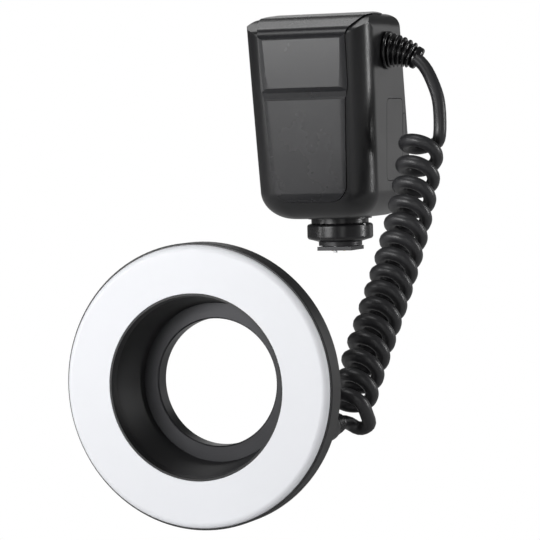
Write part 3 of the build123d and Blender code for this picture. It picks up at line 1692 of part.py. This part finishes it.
def latch_spring(side, name):
    # A small compression spring along X behind a latch button, wound from quarter turns
    spring_pitch = latch_spring_length / latch_spring_turns
    centre = Vector(side * latch_spring_inner, ring_front_y + latch_spring_depth, ring_axis_z)
    quarters = 4 * latch_spring_turns

    def spring_point(quarter):
        angle = math.radians(90 * quarter)
        across = Vector(0, math.cos(angle), math.sin(angle)) * latch_spring_radius
        return centre + across + Vector(side * spring_pitch * quarter / 4, 0, 0)

    def spring_way(quarter):
        angle = math.radians(90 * quarter)
        round_way = Vector(0, -math.sin(angle), math.cos(angle)) * (2 * math.pi * latch_spring_radius)
        return (round_way + Vector(side * spring_pitch, 0, 0)).normalized()

    with BuildPart() as spring:
        with BuildLine() as spring_line:
            for quarter in range(quarters):
                after = quarter + 1
                biarc(spring_point(quarter), spring_way(quarter), spring_point(after), spring_way(after))
        with BuildSketch(Plane(origin=spring_point(0), z_dir=spring_way(0))):
            Circle(latch_spring_wire)
        sweep()
    spring.part.label = name
    export_step(spring.part, "parts/" + name + ".step")


latch_spring_inner = 46.0
latch_spring_length = 3.8
latch_spring(1, "latch_spring_right")
latch_spring(-1, "latch_spring_left")
print("springs done")
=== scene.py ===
import bpy
import bmesh
import math
from mathutils import Matrix, Vector


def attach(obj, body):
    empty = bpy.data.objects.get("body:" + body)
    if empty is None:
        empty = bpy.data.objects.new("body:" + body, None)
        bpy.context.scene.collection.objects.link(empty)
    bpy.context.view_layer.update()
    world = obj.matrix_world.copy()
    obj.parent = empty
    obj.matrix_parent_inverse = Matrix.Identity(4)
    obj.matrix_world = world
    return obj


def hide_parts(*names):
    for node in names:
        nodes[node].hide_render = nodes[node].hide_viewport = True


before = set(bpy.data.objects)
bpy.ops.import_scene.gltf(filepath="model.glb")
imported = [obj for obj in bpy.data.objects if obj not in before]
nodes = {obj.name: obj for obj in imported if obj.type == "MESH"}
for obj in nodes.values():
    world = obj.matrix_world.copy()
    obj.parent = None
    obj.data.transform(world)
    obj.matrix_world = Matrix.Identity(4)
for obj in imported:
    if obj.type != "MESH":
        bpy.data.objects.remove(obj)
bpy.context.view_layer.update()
scene = bpy.context.scene
scene.view_settings.view_transform = "Standard"
mm = 0.001
white = (1, 1, 1, 1)
print("frame loaded")

# camera: the photograph's viewing angle, worked out from the ring's ellipses (mm and degrees)
cameraSet = {
    "target": (-39.8, 0.0, -10.27),
    "azimuth": 22.4,
    "elevation": 2.945,
    "roll": 1.545,
    "distance": 1445.7,
    "lens": 184.53,
    "sensor": 36.0,
    "nearest": 50.0,
    "farthest": 50000.0,
}


def makeCamera(settings):
    azimuth = math.radians(settings["azimuth"])
    elevation = math.radians(settings["elevation"])
    roll = math.radians(settings["roll"])
    back = Vector((
        math.sin(azimuth) * math.cos(elevation),
        -math.cos(azimuth) * math.cos(elevation),
        math.sin(elevation),
    ))
    right = Vector((math.cos(azimuth), math.sin(azimuth), 0))
    up = back.cross(right)
    across = right * math.cos(roll) - up * math.sin(roll)
    upright = right * math.sin(roll) + up * math.cos(roll)
    lens = bpy.data.cameras.new("camera")
    lens.lens = settings["lens"]
    lens.sensor_width = settings["sensor"]
    lens.clip_start = settings["nearest"] * mm
    lens.clip_end = settings["farthest"] * mm
    camera = bpy.data.objects.new("camera", lens)
    place = Vector(settings["target"]) * mm + back * settings["distance"] * mm
    axes = Matrix((across, upright, back)).transposed().to_4x4()
    camera.matrix_world = Matrix.Translation(place) @ axes
    scene.collection.objects.link(camera)
    scene.camera = camera


makeCamera(cameraSet)
print("camera placed")

# curly cord: one line from the controller's boot, through the coil, into the ring's boot (mm)
cordSet = {
    "diameter": 6.5,
    "length": 861.6,
    "lead": [
        (50.225, -16.764, 96.14),
        (54.3, -17.72, 93.41),
        (60.6, -20.8, 82.0),
        (63.71, -23.16, 73.21),
        (64.74, -26.61, 55.95),
        (59.76, -20.54, 53.37),
    ],
    "axis": [
        (55.6, -26.6, 59.7),
        (60.3, -62.1, 2.4),
        (56.6, -101.7, -25.4),
        (56.5, -141.0, -67.6),
    ],
    "turns": 15,
    "topRadius": 8.5,
    "lowRadius": 7.8,
    "stretch": 0.02,
    "perTurn": 16,
    "plump": 1.013,
    "tail": [
        (64.3, -139.18, -70.36),
        (64.04, -134.53, -75.04),
        (57.63, -132.73, -77.78),
        (52.5, -136.11, -73.0),
        (52.5, -146.5, -73.0),
    ],
    "order": 3,
    "stepsAlong": 4,
    "stepsRound": 5,
}


def coilCentre(settings, share):
    # point and direction on the coil's axis, a cubic curve
    first, second, third, last = [Vector(point) for point in settings["axis"]]
    rest = 1 - share
    point = (
        first * rest**3
        + second * 3 * rest * rest * share
        + third * 3 * rest * share**2
        + last * share**3
    )
    way = (
        (second - first) * rest * rest
        + (third - second) * 2 * rest * share
        + (last - third) * share**2
    )
    return point, way.normalized()


def coilPoints(settings):
    # control points of the turns, a little plumper than the turns themselves
    points = []
    perTurn = settings["perTurn"]
    allSteps = settings["turns"] * perTurn
    for count in range(perTurn // 4 + 1, allSteps):  # the lead takes the first quarter turn's place
        turned = count / allSteps
        share = turned + settings["stretch"] * math.sin(2 * math.pi * turned) / (2 * math.pi)
        centre, way = coilCentre(settings, share)
        across = (Vector((1, 0, 0)) - way * way.x).normalized()
        upward = way.cross(across)
        radius = settings["topRadius"] + (settings["lowRadius"] - settings["topRadius"]) * turned
        angle = math.pi / 2 + 2 * math.pi * count / perTurn
        swing = upward * math.cos(angle) + across * math.sin(angle)
        points.append(centre + swing * radius * settings["plump"])
    return points


def makeCord(settings):
    points = settings["lead"] + coilPoints(settings) + settings["tail"]
    curve = bpy.data.curves.new("curlyCord", "CURVE")
    curve.dimensions = "3D"
    curve.bevel_depth = 1.0  # the points carry the cord's radius, so that its box is the tube's own
    curve.bevel_resolution = settings["stepsRound"]
    curve.resolution_u = settings["stepsAlong"]
    spline = curve.splines.new("NURBS")
    spline.points.add(len(points) - 1)
    for place, point in zip(spline.points, points):
        place.co = (*(Vector(point) * mm), 1)
        place.radius = settings["diameter"] / 2 * mm
    spline.order_u = settings["order"]
    spline.use_endpoint_u = True
    cord = bpy.data.objects.new("curlyCord", curve)
    scene.collection.objects.link(cord)
    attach(cord, "flash")
    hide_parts("curly_cord", "cord_upper_lead")
    return cord


curlyCord = makeCord(cordSet)
print("cord laid")

# moulded grain, slow patches of sheen and fine dust, shared by the finishes
surfaceSet = {
    "grainDetail": 2.0,
    "grainRough": 0.55,
    "patchDetail": 4.0,
    "patchRough": 0.6,
    "patchLow": 0.3,
    "patchHigh": 0.7,
    "speckDetail": 3.0,
    "speckRough": 0.7,
    "speckStart": 0.64,
    "speckFull": 0.78,
    "dustColor": (0.30, 0.29, 0.28, 1),
}


def addNode(tree, kind, inputs=None, **values):
    node = tree.nodes.new(kind)
    for name, value in values.items():
        setattr(node, name, value)
    for name, value in (inputs or {}).items():
        if isinstance(value, bpy.types.NodeSocket):
            tree.links.new(value, node.inputs[name])
        else:
            node.inputs[name].default_value = value
    return node


def addNoise(tree, size, detail, rough):
    # noise on the piece's own coordinates, its largest features as wide as size
    where = addNode(tree, "ShaderNodeTexCoord").outputs["Object"]
    scale = addNode(tree, "ShaderNodeMath", {0: 1.0, 1: size}, operation="DIVIDE")
    inputs = {"Vector": where, "Scale": scale.outputs[0], "Detail": detail, "Roughness": rough}
    return addNode(tree, "ShaderNodeTexNoise", inputs).outputs["Fac"]


def newGroup(name, inputs, outputs):
    group = bpy.data.node_groups.new(name, "ShaderNodeTree")
    for label, value in inputs.items():
        socket = group.interface.new_socket(label, in_out="INPUT", socket_type="NodeSocketFloat")
        socket.default_value = value
    for label in outputs:
        group.interface.new_socket(label, in_out="OUTPUT", socket_type="NodeSocketFloat")
    return group, group.nodes.new("NodeGroupInput"), group.nodes.new("NodeGroupOutput")


def makeGrainGroup(settings):
    # moulded surface: a fine raised grain and a slow, broad change of sheen
    inputs = {"Grain Size": 0.0003, "Patch Size": 0.03}
    group, given, result = newGroup("mouldedGrain", inputs, ["Height", "Patch"])
    grain = addNoise(group, given.outputs["Grain Size"], settings["grainDetail"], settings["grainRough"])
    patch = addNoise(group, given.outputs["Patch Size"], settings["patchDetail"], settings["patchRough"])
    group.links.new(grain, result.inputs["Height"])
    group.links.new(patch, result.inputs["Patch"])
    return group


def makeDustGroup(settings):
    # sparse pale specks, as a mask from 0 to the amount asked for
    group, given, result = newGroup("fineDust", {"Speck Size": 0.0008, "Amount": 0.3}, ["Dust"])
    specks = addNoise(group, given.outputs["Speck Size"], settings["speckDetail"], settings["speckRough"])
    peak = addNode(
        group,
        "ShaderNodeMapRange",
        {
            "Value": specks,
            "From Min": settings["speckStart"],
            "From Max": settings["speckFull"],
            "To Min": 0.0,
            "To Max": 1.0,
        },
    )
    dust = addNode(
        group,
        "ShaderNodeMath",
        {0: peak.outputs["Result"], 1: given.outputs["Amount"]},
        operation="MULTIPLY",
    )
    group.links.new(dust.outputs[0], result.inputs["Dust"])
    return group


grainGroup = makeGrainGroup(surfaceSet)
dustGroup = makeDustGroup(surfaceSet)

# what a finish is unless it says otherwise (sizes in m)
finishDefaults = {
    "rough": 0.4,
    "roughSpread": 0.08,
    "metal": 0.0,
    "specular": 0.5,
    "coat": 0.0,
    "coatRough": 0.15,
    "grain": 0.0003,
    "patch": 0.03,
    "bump": 0.15,
    "bumpReach": 0.00003,
    "tint": 0.12,
    "dust": 0.0,
    "dustSize": 0.0008,
    "through": 0.0,
    "alpha": 1.0,
    "ior": 1.5,
}


def makeFinish(name, color, **changes):
    # one principled finish whose colour, sheen and surface all vary over the piece
    setting = {**finishDefaults, **changes}
    material = bpy.data.materials.new(name)
    material.use_nodes = True
    tree = material.node_tree
    tree.nodes.clear()
    output = addNode(tree, "ShaderNodeOutputMaterial")
    grain = addNode(
        tree,
        "ShaderNodeGroup",
        {"Grain Size": setting["grain"], "Patch Size": setting["patch"]},
        node_tree=grainGroup,
    )
    dust = addNode(
        tree,
        "ShaderNodeGroup",
        {"Speck Size": setting["dustSize"], "Amount": setting["dust"]},
        node_tree=dustGroup,
    )
    dark = [channel * (1 - setting["tint"]) for channel in color] + [1]
    light = [min(1, channel * (1 + setting["tint"])) for channel in color] + [1]
    tint = addNode(
        tree,
        "ShaderNodeMix",
        {"Factor": grain.outputs["Patch"], "A": dark, "B": light},
        data_type="RGBA",
    )
    dusty = addNode(
        tree,
        "ShaderNodeMix",
        {"Factor": dust.outputs["Dust"], "A": tint.outputs["Result"], "B": surfaceSet["dustColor"]},
        data_type="RGBA",
    )
    rough = addNode(
        tree,
        "ShaderNodeMapRange",
        {
            "Value": grain.outputs["Patch"],
            "From Min": surfaceSet["patchLow"],
            "From Max": surfaceSet["patchHigh"],
            "To Min": setting["rough"] - setting["roughSpread"] / 2,
            "To Max": setting["rough"] + setting["roughSpread"] / 2,
        },
    )
    bump = addNode(
        tree,
        "ShaderNodeBump",
        {"Strength": setting["bump"], "Distance": setting["bumpReach"], "Height": grain.outputs["Height"]},
    )
    shader = addNode(
        tree,
        "ShaderNodeBsdfPrincipled",
        {
            "Base Color": dusty.outputs["Result"],
            "Roughness": rough.outputs["Result"],
            "Normal": bump.outputs["Normal"],
            "Metallic": setting["metal"],
            "Specular IOR Level": setting["specular"],
            "Coat Weight": setting["coat"],
            "Coat Roughness": setting["coatRough"],
            "Transmission Weight": setting["through"],
            "Alpha": setting["alpha"],
            "IOR": setting["ior"],
        },
    )
    tree.links.new(shader.outputs["BSDF"], output.inputs["Surface"])
    return material


finishes = {
    "casing": makeFinish(
        "casingPlastic",
        (0.012, 0.012, 0.013),
        rough=0.30,
        roughSpread=0.04,
        grain=0.0004,
        bump=0.2,
        dust=0.05,
    ),
    "panel": makeFinish(
        "panelPlastic", (0.014, 0.014, 0.016), rough=0.27, roughSpread=0.03, bump=0.12, dust=0.04
    ),
    "ring": makeFinish(
        "ringPlastic", (0.016, 0.016, 0.017), rough=0.42, grain=0.0004, bump=0.25, dust=0.05
    ),
    "bore": makeFinish("borePlastic", (0.010, 0.010, 0.011), rough=0.50, grain=0.0005, bump=0.3),
    "diffuser": makeFinish(
        "diffuserPlastic", (0.79, 0.80, 0.83), rough=0.45, grain=0.0012, bump=0.1, tint=0.012, patch=0.05
    ),
    "reflector": makeFinish("reflectorSheet", (0.85, 0.86, 0.88), rough=0.3, metal=0.6, tint=0.04),
    "adapter": makeFinish(
        "anodisedMetal", (0.035, 0.035, 0.038), rough=0.34, metal=0.6, grain=0.0002, bump=0.2, dust=0.04
    ),
    "wheel": makeFinish("wheelLacquer", (0.012, 0.012, 0.013), rough=0.27, dust=0.04),
    "foot": makeFinish("footLacquer", (0.030, 0.030, 0.032), rough=0.38, metal=0.4, bump=0.2),
    "steel": makeFinish("plainSteel", (0.55, 0.55, 0.56), rough=0.28, metal=1.0, grain=0.0002, tint=0.08),
    "contact": makeFinish(
        "platedContact", (0.80, 0.60, 0.28), rough=0.25, metal=1.0, grain=0.0002, tint=0.06
    ),
    "boot": makeFinish(
        "bootRubber", (0.006, 0.006, 0.007), rough=0.25, grain=0.0006, bump=0.1, coat=0.25
    ),
    "cord": makeFinish(
        "cordJacket", (0.026, 0.026, 0.028), rough=0.38, grain=0.0005, bump=0.2, dust=0.03
    ),
    "glass": makeFinish(
        "tubeGlass", (0.94, 0.95, 0.96), rough=0.05, roughSpread=0.02, through=0.9, tint=0.01
    ),
    "ceramic": makeFinish("electrodeCap", (0.75, 0.74, 0.70), tint=0.05),
    "lamp": makeFinish("lampResin", (0.95, 0.90, 0.55), rough=0.2, tint=0.05),
    "board": makeFinish("boardResin", (0.02, 0.13, 0.06), rough=0.35, grain=0.0015, bump=0.3, tint=0.2),
    "copper": makeFinish("varnishedWire", (0.36, 0.13, 0.05), rough=0.3, metal=0.5, grain=0.0004, bump=0.5),
    "sleeve": makeFinish("shrunkSleeve", (0.015, 0.015, 0.018), rough=0.25, tint=0.1),
    "bay": makeFinish("bayPlastic", (0.035, 0.035, 0.037), rough=0.5, grain=0.0005, bump=0.3),
    "fascia": makeFinish("fasciaPlastic", (0.014, 0.014, 0.015), rough=0.30, bump=0.1, dust=0.04),
    "window": makeFinish(
        "windowClear", (0.30, 0.31, 0.32), rough=0.06, roughSpread=0.03, alpha=0.35, tint=0.02
    ),
    "display": makeFinish("displayGlass", (0.23, 0.26, 0.22), rough=0.22, tint=0.03),
    "key": makeFinish("keyRubber", (0.045, 0.045, 0.048), rough=0.48, grain=0.0004, bump=0.25, dust=0.05),
    "dial": makeFinish("dialPlastic", (0.030, 0.030, 0.032), rough=0.36, bump=0.2, dust=0.05),
    "mark": makeFinish("printedMark", (0.80, 0.80, 0.80), rough=0.5, tint=0.04),
}
print("finishes mixed")

# which CAD nodes carry which finish
finishOfNodes = {
    "casing": ["front_shell", "rear_shell", "neck_collar", "usb_cover", "battery_pack", "battery_release"],
    "panel": ["front_panel"],
    "ring": ["ring_rear_shell", "ring_front_bezel", "latch_right", "latch_left"],
    "bore": ["ring_bore_sleeve"],
    "diffuser": ["ring_diffuser"],
    "reflector": ["ring_reflector"],
    "adapter": ["adapter_ring"],
    "wheel": ["lock_wheel"],
    "foot": ["shoe_foot", "pressure_plate"],
    "steel": [
        "ring_screws", "board_screws", "neck_screws", "latch_pins", "latch_spring_right", "latch_spring_left",
        "lock_pin", "usb_cover_pin", "usb_socket",
    ],
    "contact": ["contact_pins", "battery_contacts"],
    "boot": ["controller_cord_boot", "ring_cord_boot"],
    "glass": ["flash_tube_upper", "flash_tube_lower"],
    "ceramic": ["tube_electrodes"],
    "lamp": ["modelling_lamps"],
    "board": ["ring_circuit_board", "main_circuit_board", "display_board"],
    "copper": ["trigger_coil", "inverter_transformer"],
    "sleeve": ["flash_capacitor"],
    "bay": ["battery_bay"],
    "fascia": ["rear_fascia"],
    "window": ["display_window"],
    "display": ["display_panel"],
    "key": [
        "function_key_1", "function_key_2", "function_key_3", "function_key_4", "mode_key", "wireless_key",
        "set_key", "test_key",
    ],
    "dial": ["select_dial", "power_switch"],
}


def applyFinish(piece, finish):
    if piece.material_slots:
        for slot in piece.material_slots:
            slot.material = finish
    else:
        piece.data.materials.append(finish)


for finishName, members in finishOfNodes.items():
    for member in members:
        applyFinish(nodes[member], finishes[finishName])
applyFinish(curlyCord, finishes["cord"])
print("nodes finished")

# ribbed boots: a turned profile, the controller's one bent down as in the photograph (mm and degrees)
upperBootSet = {
    "base": (33.481, -15.0, 101.396),
    "out": (0.9997, 0.0, -0.02443),
    "lean": 20.0,
    "bend": 34.0,
    "length": 17.9,
    "flange": 9.6,
    "flangeLength": 1.9,
    "baseRadius": 9.0,
    "tipRadius": 5.8,
    "ribs": 5,
    "ribDepth": 1.5,
    "collar": 0.2,
    "hole": 3.2,
}
ringBootSet = {
    "base": (52.5, -162.0, -73.0),
    "out": (0.0, 1.0, 0.0),
    "lean": 0.0,
    "bend": 0.0,
    "length": 15.5,
    "flange": 6.9,
    "flangeLength": 1.6,
    "baseRadius": 6.4,
    "tipRadius": 4.7,
    "ribs": 5,
    "ribDepth": 1.1,
    "collar": 0.16,
    "hole": 3.2,
}

# what both boots share; an edge is a list of steps off its corner, along the boot and outwards (mm)
bootEdgeSet = {
    "flangeFoot": [(0, -0.5), (0.15, -0.15), (0.5, 0)],
    "flangeTop": [(-0.5, 0), (-0.1, -0.4)],
    "collarFoot": [(0.4, -0.05), (0.9, 0.1)],
    "collarTip": [(-0.9, 0), (-0.3, -0.35), (0, -0.9)],
    "lastGroove": 0.7,
    "ribSteps": 8,
    "ribPower": 1.6,
    "sides": 64,
    "smoothAngle": 50,
}


def roundedEdge(along, radius, steps):
    return [(along + forward, radius + outward) for forward, outward in steps]


def bootProfile(settings, edges):
    # (distance along, radius) pairs from the base, over the ribs, to the collar at the tip
    length = settings["length"]
    flange = settings["flange"]
    tip = settings["tipRadius"]
    start = settings["flangeLength"]
    collar = length * (1 - settings["collar"])
    pitch = (collar - start) / settings["ribs"]
    points = [(0, settings["hole"])]
    points += roundedEdge(0, flange, edges["flangeFoot"])
    points += roundedEdge(start, flange, edges["flangeTop"])
    for rib in range(settings["ribs"]):
        for step in range(edges["ribSteps"]):
            part = step / edges["ribSteps"]
            along = start + pitch * (rib + part)
            fall = (along - start) / (length - start)
            outer = settings["baseRadius"] + (tip - settings["baseRadius"]) * fall
            dip = 0.5 + 0.5 * math.cos(2 * math.pi * part)
            points.append((along, outer - settings["ribDepth"] * dip ** edges["ribPower"]))
    points.append((collar, tip - settings["ribDepth"] * edges["lastGroove"]))
    points += roundedEdge(collar, tip, edges["collarFoot"])
    points += roundedEdge(length, tip, edges["collarTip"])
    points.append((length, settings["hole"]))
    return points


def meshPiece(name, bm, finish, body, replaced=(), smoothAngle=35, weld=1e-7):
    # turns a bmesh into a finished piece that rides on a body
    bmesh.ops.remove_doubles(bm, verts=bm.verts, dist=weld)
    bmesh.ops.recalc_face_normals(bm, faces=bm.faces)
    mesh = bpy.data.meshes.new(name)
    bm.to_mesh(mesh)
    bm.free()
    piece = bpy.data.objects.new(name, mesh)
    scene.collection.objects.link(piece)
    mesh.materials.append(finish)
    mesh.polygons.foreach_set("use_smooth", [True] * len(mesh.polygons))
    mesh.set_sharp_from_angle(angle=math.radians(smoothAngle))
    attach(piece, body)
    if replaced:
        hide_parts(*replaced)


def makeBoot(name, node, settings, edges):
    bm = bmesh.new()
    verts = [bm.verts.new((radius, 0, along)) for along, radius in bootProfile(settings, edges)]
    outline = verts + [bm.edges.new(pair) for pair in zip(verts, verts[1:])]
    bmesh.ops.spin(
        bm,
        geom=outline,
        cent=(0, 0, 0),
        axis=(0, 0, 1),
        angle=2 * math.pi,
        steps=edges["sides"],
        use_merge=True,
    )
    # down is the way the boot droops, turned about its own line by the lean
    out = Vector(settings["out"])
    side = out.cross(Vector((0, 0, -1))).normalized()
    down = side.cross(out).normalized()
    lean = math.radians(settings["lean"])
    down = down * math.cos(lean) + side * math.sin(lean)
    side = out.cross(down)
    bend = math.radians(settings["bend"])
    for vert in bm.verts:
        x, y, along = vert.co
        if bend:
            turn = settings["length"] / bend
            angle = along / turn
            point = out * (turn * math.sin(angle)) + down * (turn * (1 - math.cos(angle)))
            across = down * math.cos(angle) - out * math.sin(angle)
        else:
            point = out * along
            across = down
        vert.co = (Vector(settings["base"]) + point + across * x + side * y) * mm
    meshPiece(name, bm, finishes["boot"], "flash", [node], edges["smoothAngle"])


makeBoot("controllerBoot", "controller_cord_boot", upperBootSet, bootEdgeSet)
makeBoot("ringBoot", "ring_cord_boot", ringBootSet, bootEdgeSet)
print("boots turned")

# index dot inlaid in the lock wheel's rounded upper edge (mm)
dotSet = {
    "radius": 0.65,
    "flattened": 0.6,
    "place": (15.55, -5.69, 13.3),
    "sides": 24,
    "rings": 12,
}


def makeIndexDot(settings):
    bm = bmesh.new()
    bmesh.ops.create_uvsphere(
        bm, u_segments=settings["sides"], v_segments=settings["rings"], radius=settings["radius"] * mm
    )
    bmesh.ops.scale(bm, vec=(1, settings["flattened"], 1), verts=bm.verts)
    bmesh.ops.translate(bm, vec=Vector(settings["place"]) * mm, verts=bm.verts)
    meshPiece("indexDot", bm, finishes["mark"], "lock_wheel")


makeIndexDot(dotSet)
print("index dot inlaid")

# pale floor (mm and m) that the camera sees as white
floorSet = {"height": -119.6, "reach": 6.0, "color": (0.80, 0.80, 0.80, 1)}


def makeFloor(settings):
    bm = bmesh.new()
    bmesh.ops.create_grid(bm, x_segments=1, y_segments=1, size=settings["reach"])
    bmesh.ops.translate(bm, vec=(0, 0, settings["height"] * mm), verts=bm.verts)
    mesh = bpy.data.meshes.new("floor")
    bm.to_mesh(mesh)
    bm.free()
    floor = bpy.data.objects.new("floor", mesh)
    scene.collection.objects.link(floor)
    material = bpy.data.materials.new("paleFloor")
    material.use_nodes = True
    tree = material.node_tree
    tree.nodes.clear()
    diffuse = addNode(tree, "ShaderNodeBsdfDiffuse", {"Color": settings["color"]})
    bright = addNode(tree, "ShaderNodeEmission", {"Color": white, "Strength": 1.0})
    seen = addNode(tree, "ShaderNodeLightPath").outputs["Is Camera Ray"]
    mix = addNode(tree, "ShaderNodeMixShader", {0: seen, 1: diffuse.outputs[0], 2: bright.outputs[0]})
    addNode(tree, "ShaderNodeOutputMaterial", {"Surface": mix.outputs[0]})
    mesh.materials.append(material)


def makeSurround(glow):
    # white to the camera and through glass, and only a faint glow on the pieces
    world = bpy.data.worlds.new("surround")
    scene.world = world
    world.use_nodes = True
    tree = world.node_tree
    tree.nodes.clear()
    path = addNode(tree, "ShaderNodeLightPath")
    seen = addNode(
        tree,
        "ShaderNodeMath",
        {0: path.outputs["Is Camera Ray"], 1: path.outputs["Is Transmission Ray"]},
        operation="MAXIMUM",
    )
    dim = addNode(tree, "ShaderNodeBackground", {"Color": white, "Strength": glow})
    bright = addNode(tree, "ShaderNodeBackground", {"Color": white, "Strength": 1.0})
    mix = addNode(tree, "ShaderNodeMixShader", {0: seen.outputs[0], 1: dim.outputs[0], 2: bright.outputs[0]})
    addNode(tree, "ShaderNodeOutputWorld", {"Surface": mix.outputs[0]})


# soft lights round the flash, each with its name, place (m), size (m) and power (W)
lightSet = {
    "surround": 0.1,
    "aim": (0, -0.08, 0),
    "lights": [
        ("frontSoftbox", (-0.42, -1.065, 0.15), (0.5, 0.24), 5.9),
        ("frontFill", (0.95, -1.7, 0.25), (0.4, 1.2), 3.2),
        ("topLight", (-0.3, -0.9, 1.9), (1.2, 0.6), 9.0),
        ("crownLight", (-0.76, 0.95, 1.6), (0.8, 0.5), 3.2),
        ("topEdgeLight", (-0.75, 1.85, 0.45), (0.8, 0.4), 1.0),
        ("rightStrip", (1.75, 0.60, 0.2), (0.18, 1.2), 16.0),
        ("leftStrip", (-1.5, -1.1, 0.2), (0.15, 1.2), 7.0),
        ("backLight", (0.8, 1.9, 0.2), (0.6, 0.8), 1.2),
    ],
}


def makeLights(settings):
    for name, place, size, power in settings["lights"]:
        lamp = bpy.data.lights.new(name, "AREA")
        lamp.shape = "RECTANGLE"
        lamp.size, lamp.size_y = size
        lamp.energy = power
        light = bpy.data.objects.new(name, lamp)
        light.location = place
        toAim = Vector(settings["aim"]) - Vector(place)
        light.rotation_euler = toAim.to_track_quat("-Z", "Y").to_euler()
        scene.collection.objects.link(light)


makeFloor(floorSet)
makeSurround(lightSet["surround"])
makeLights(lightSet)
print("stage lit")
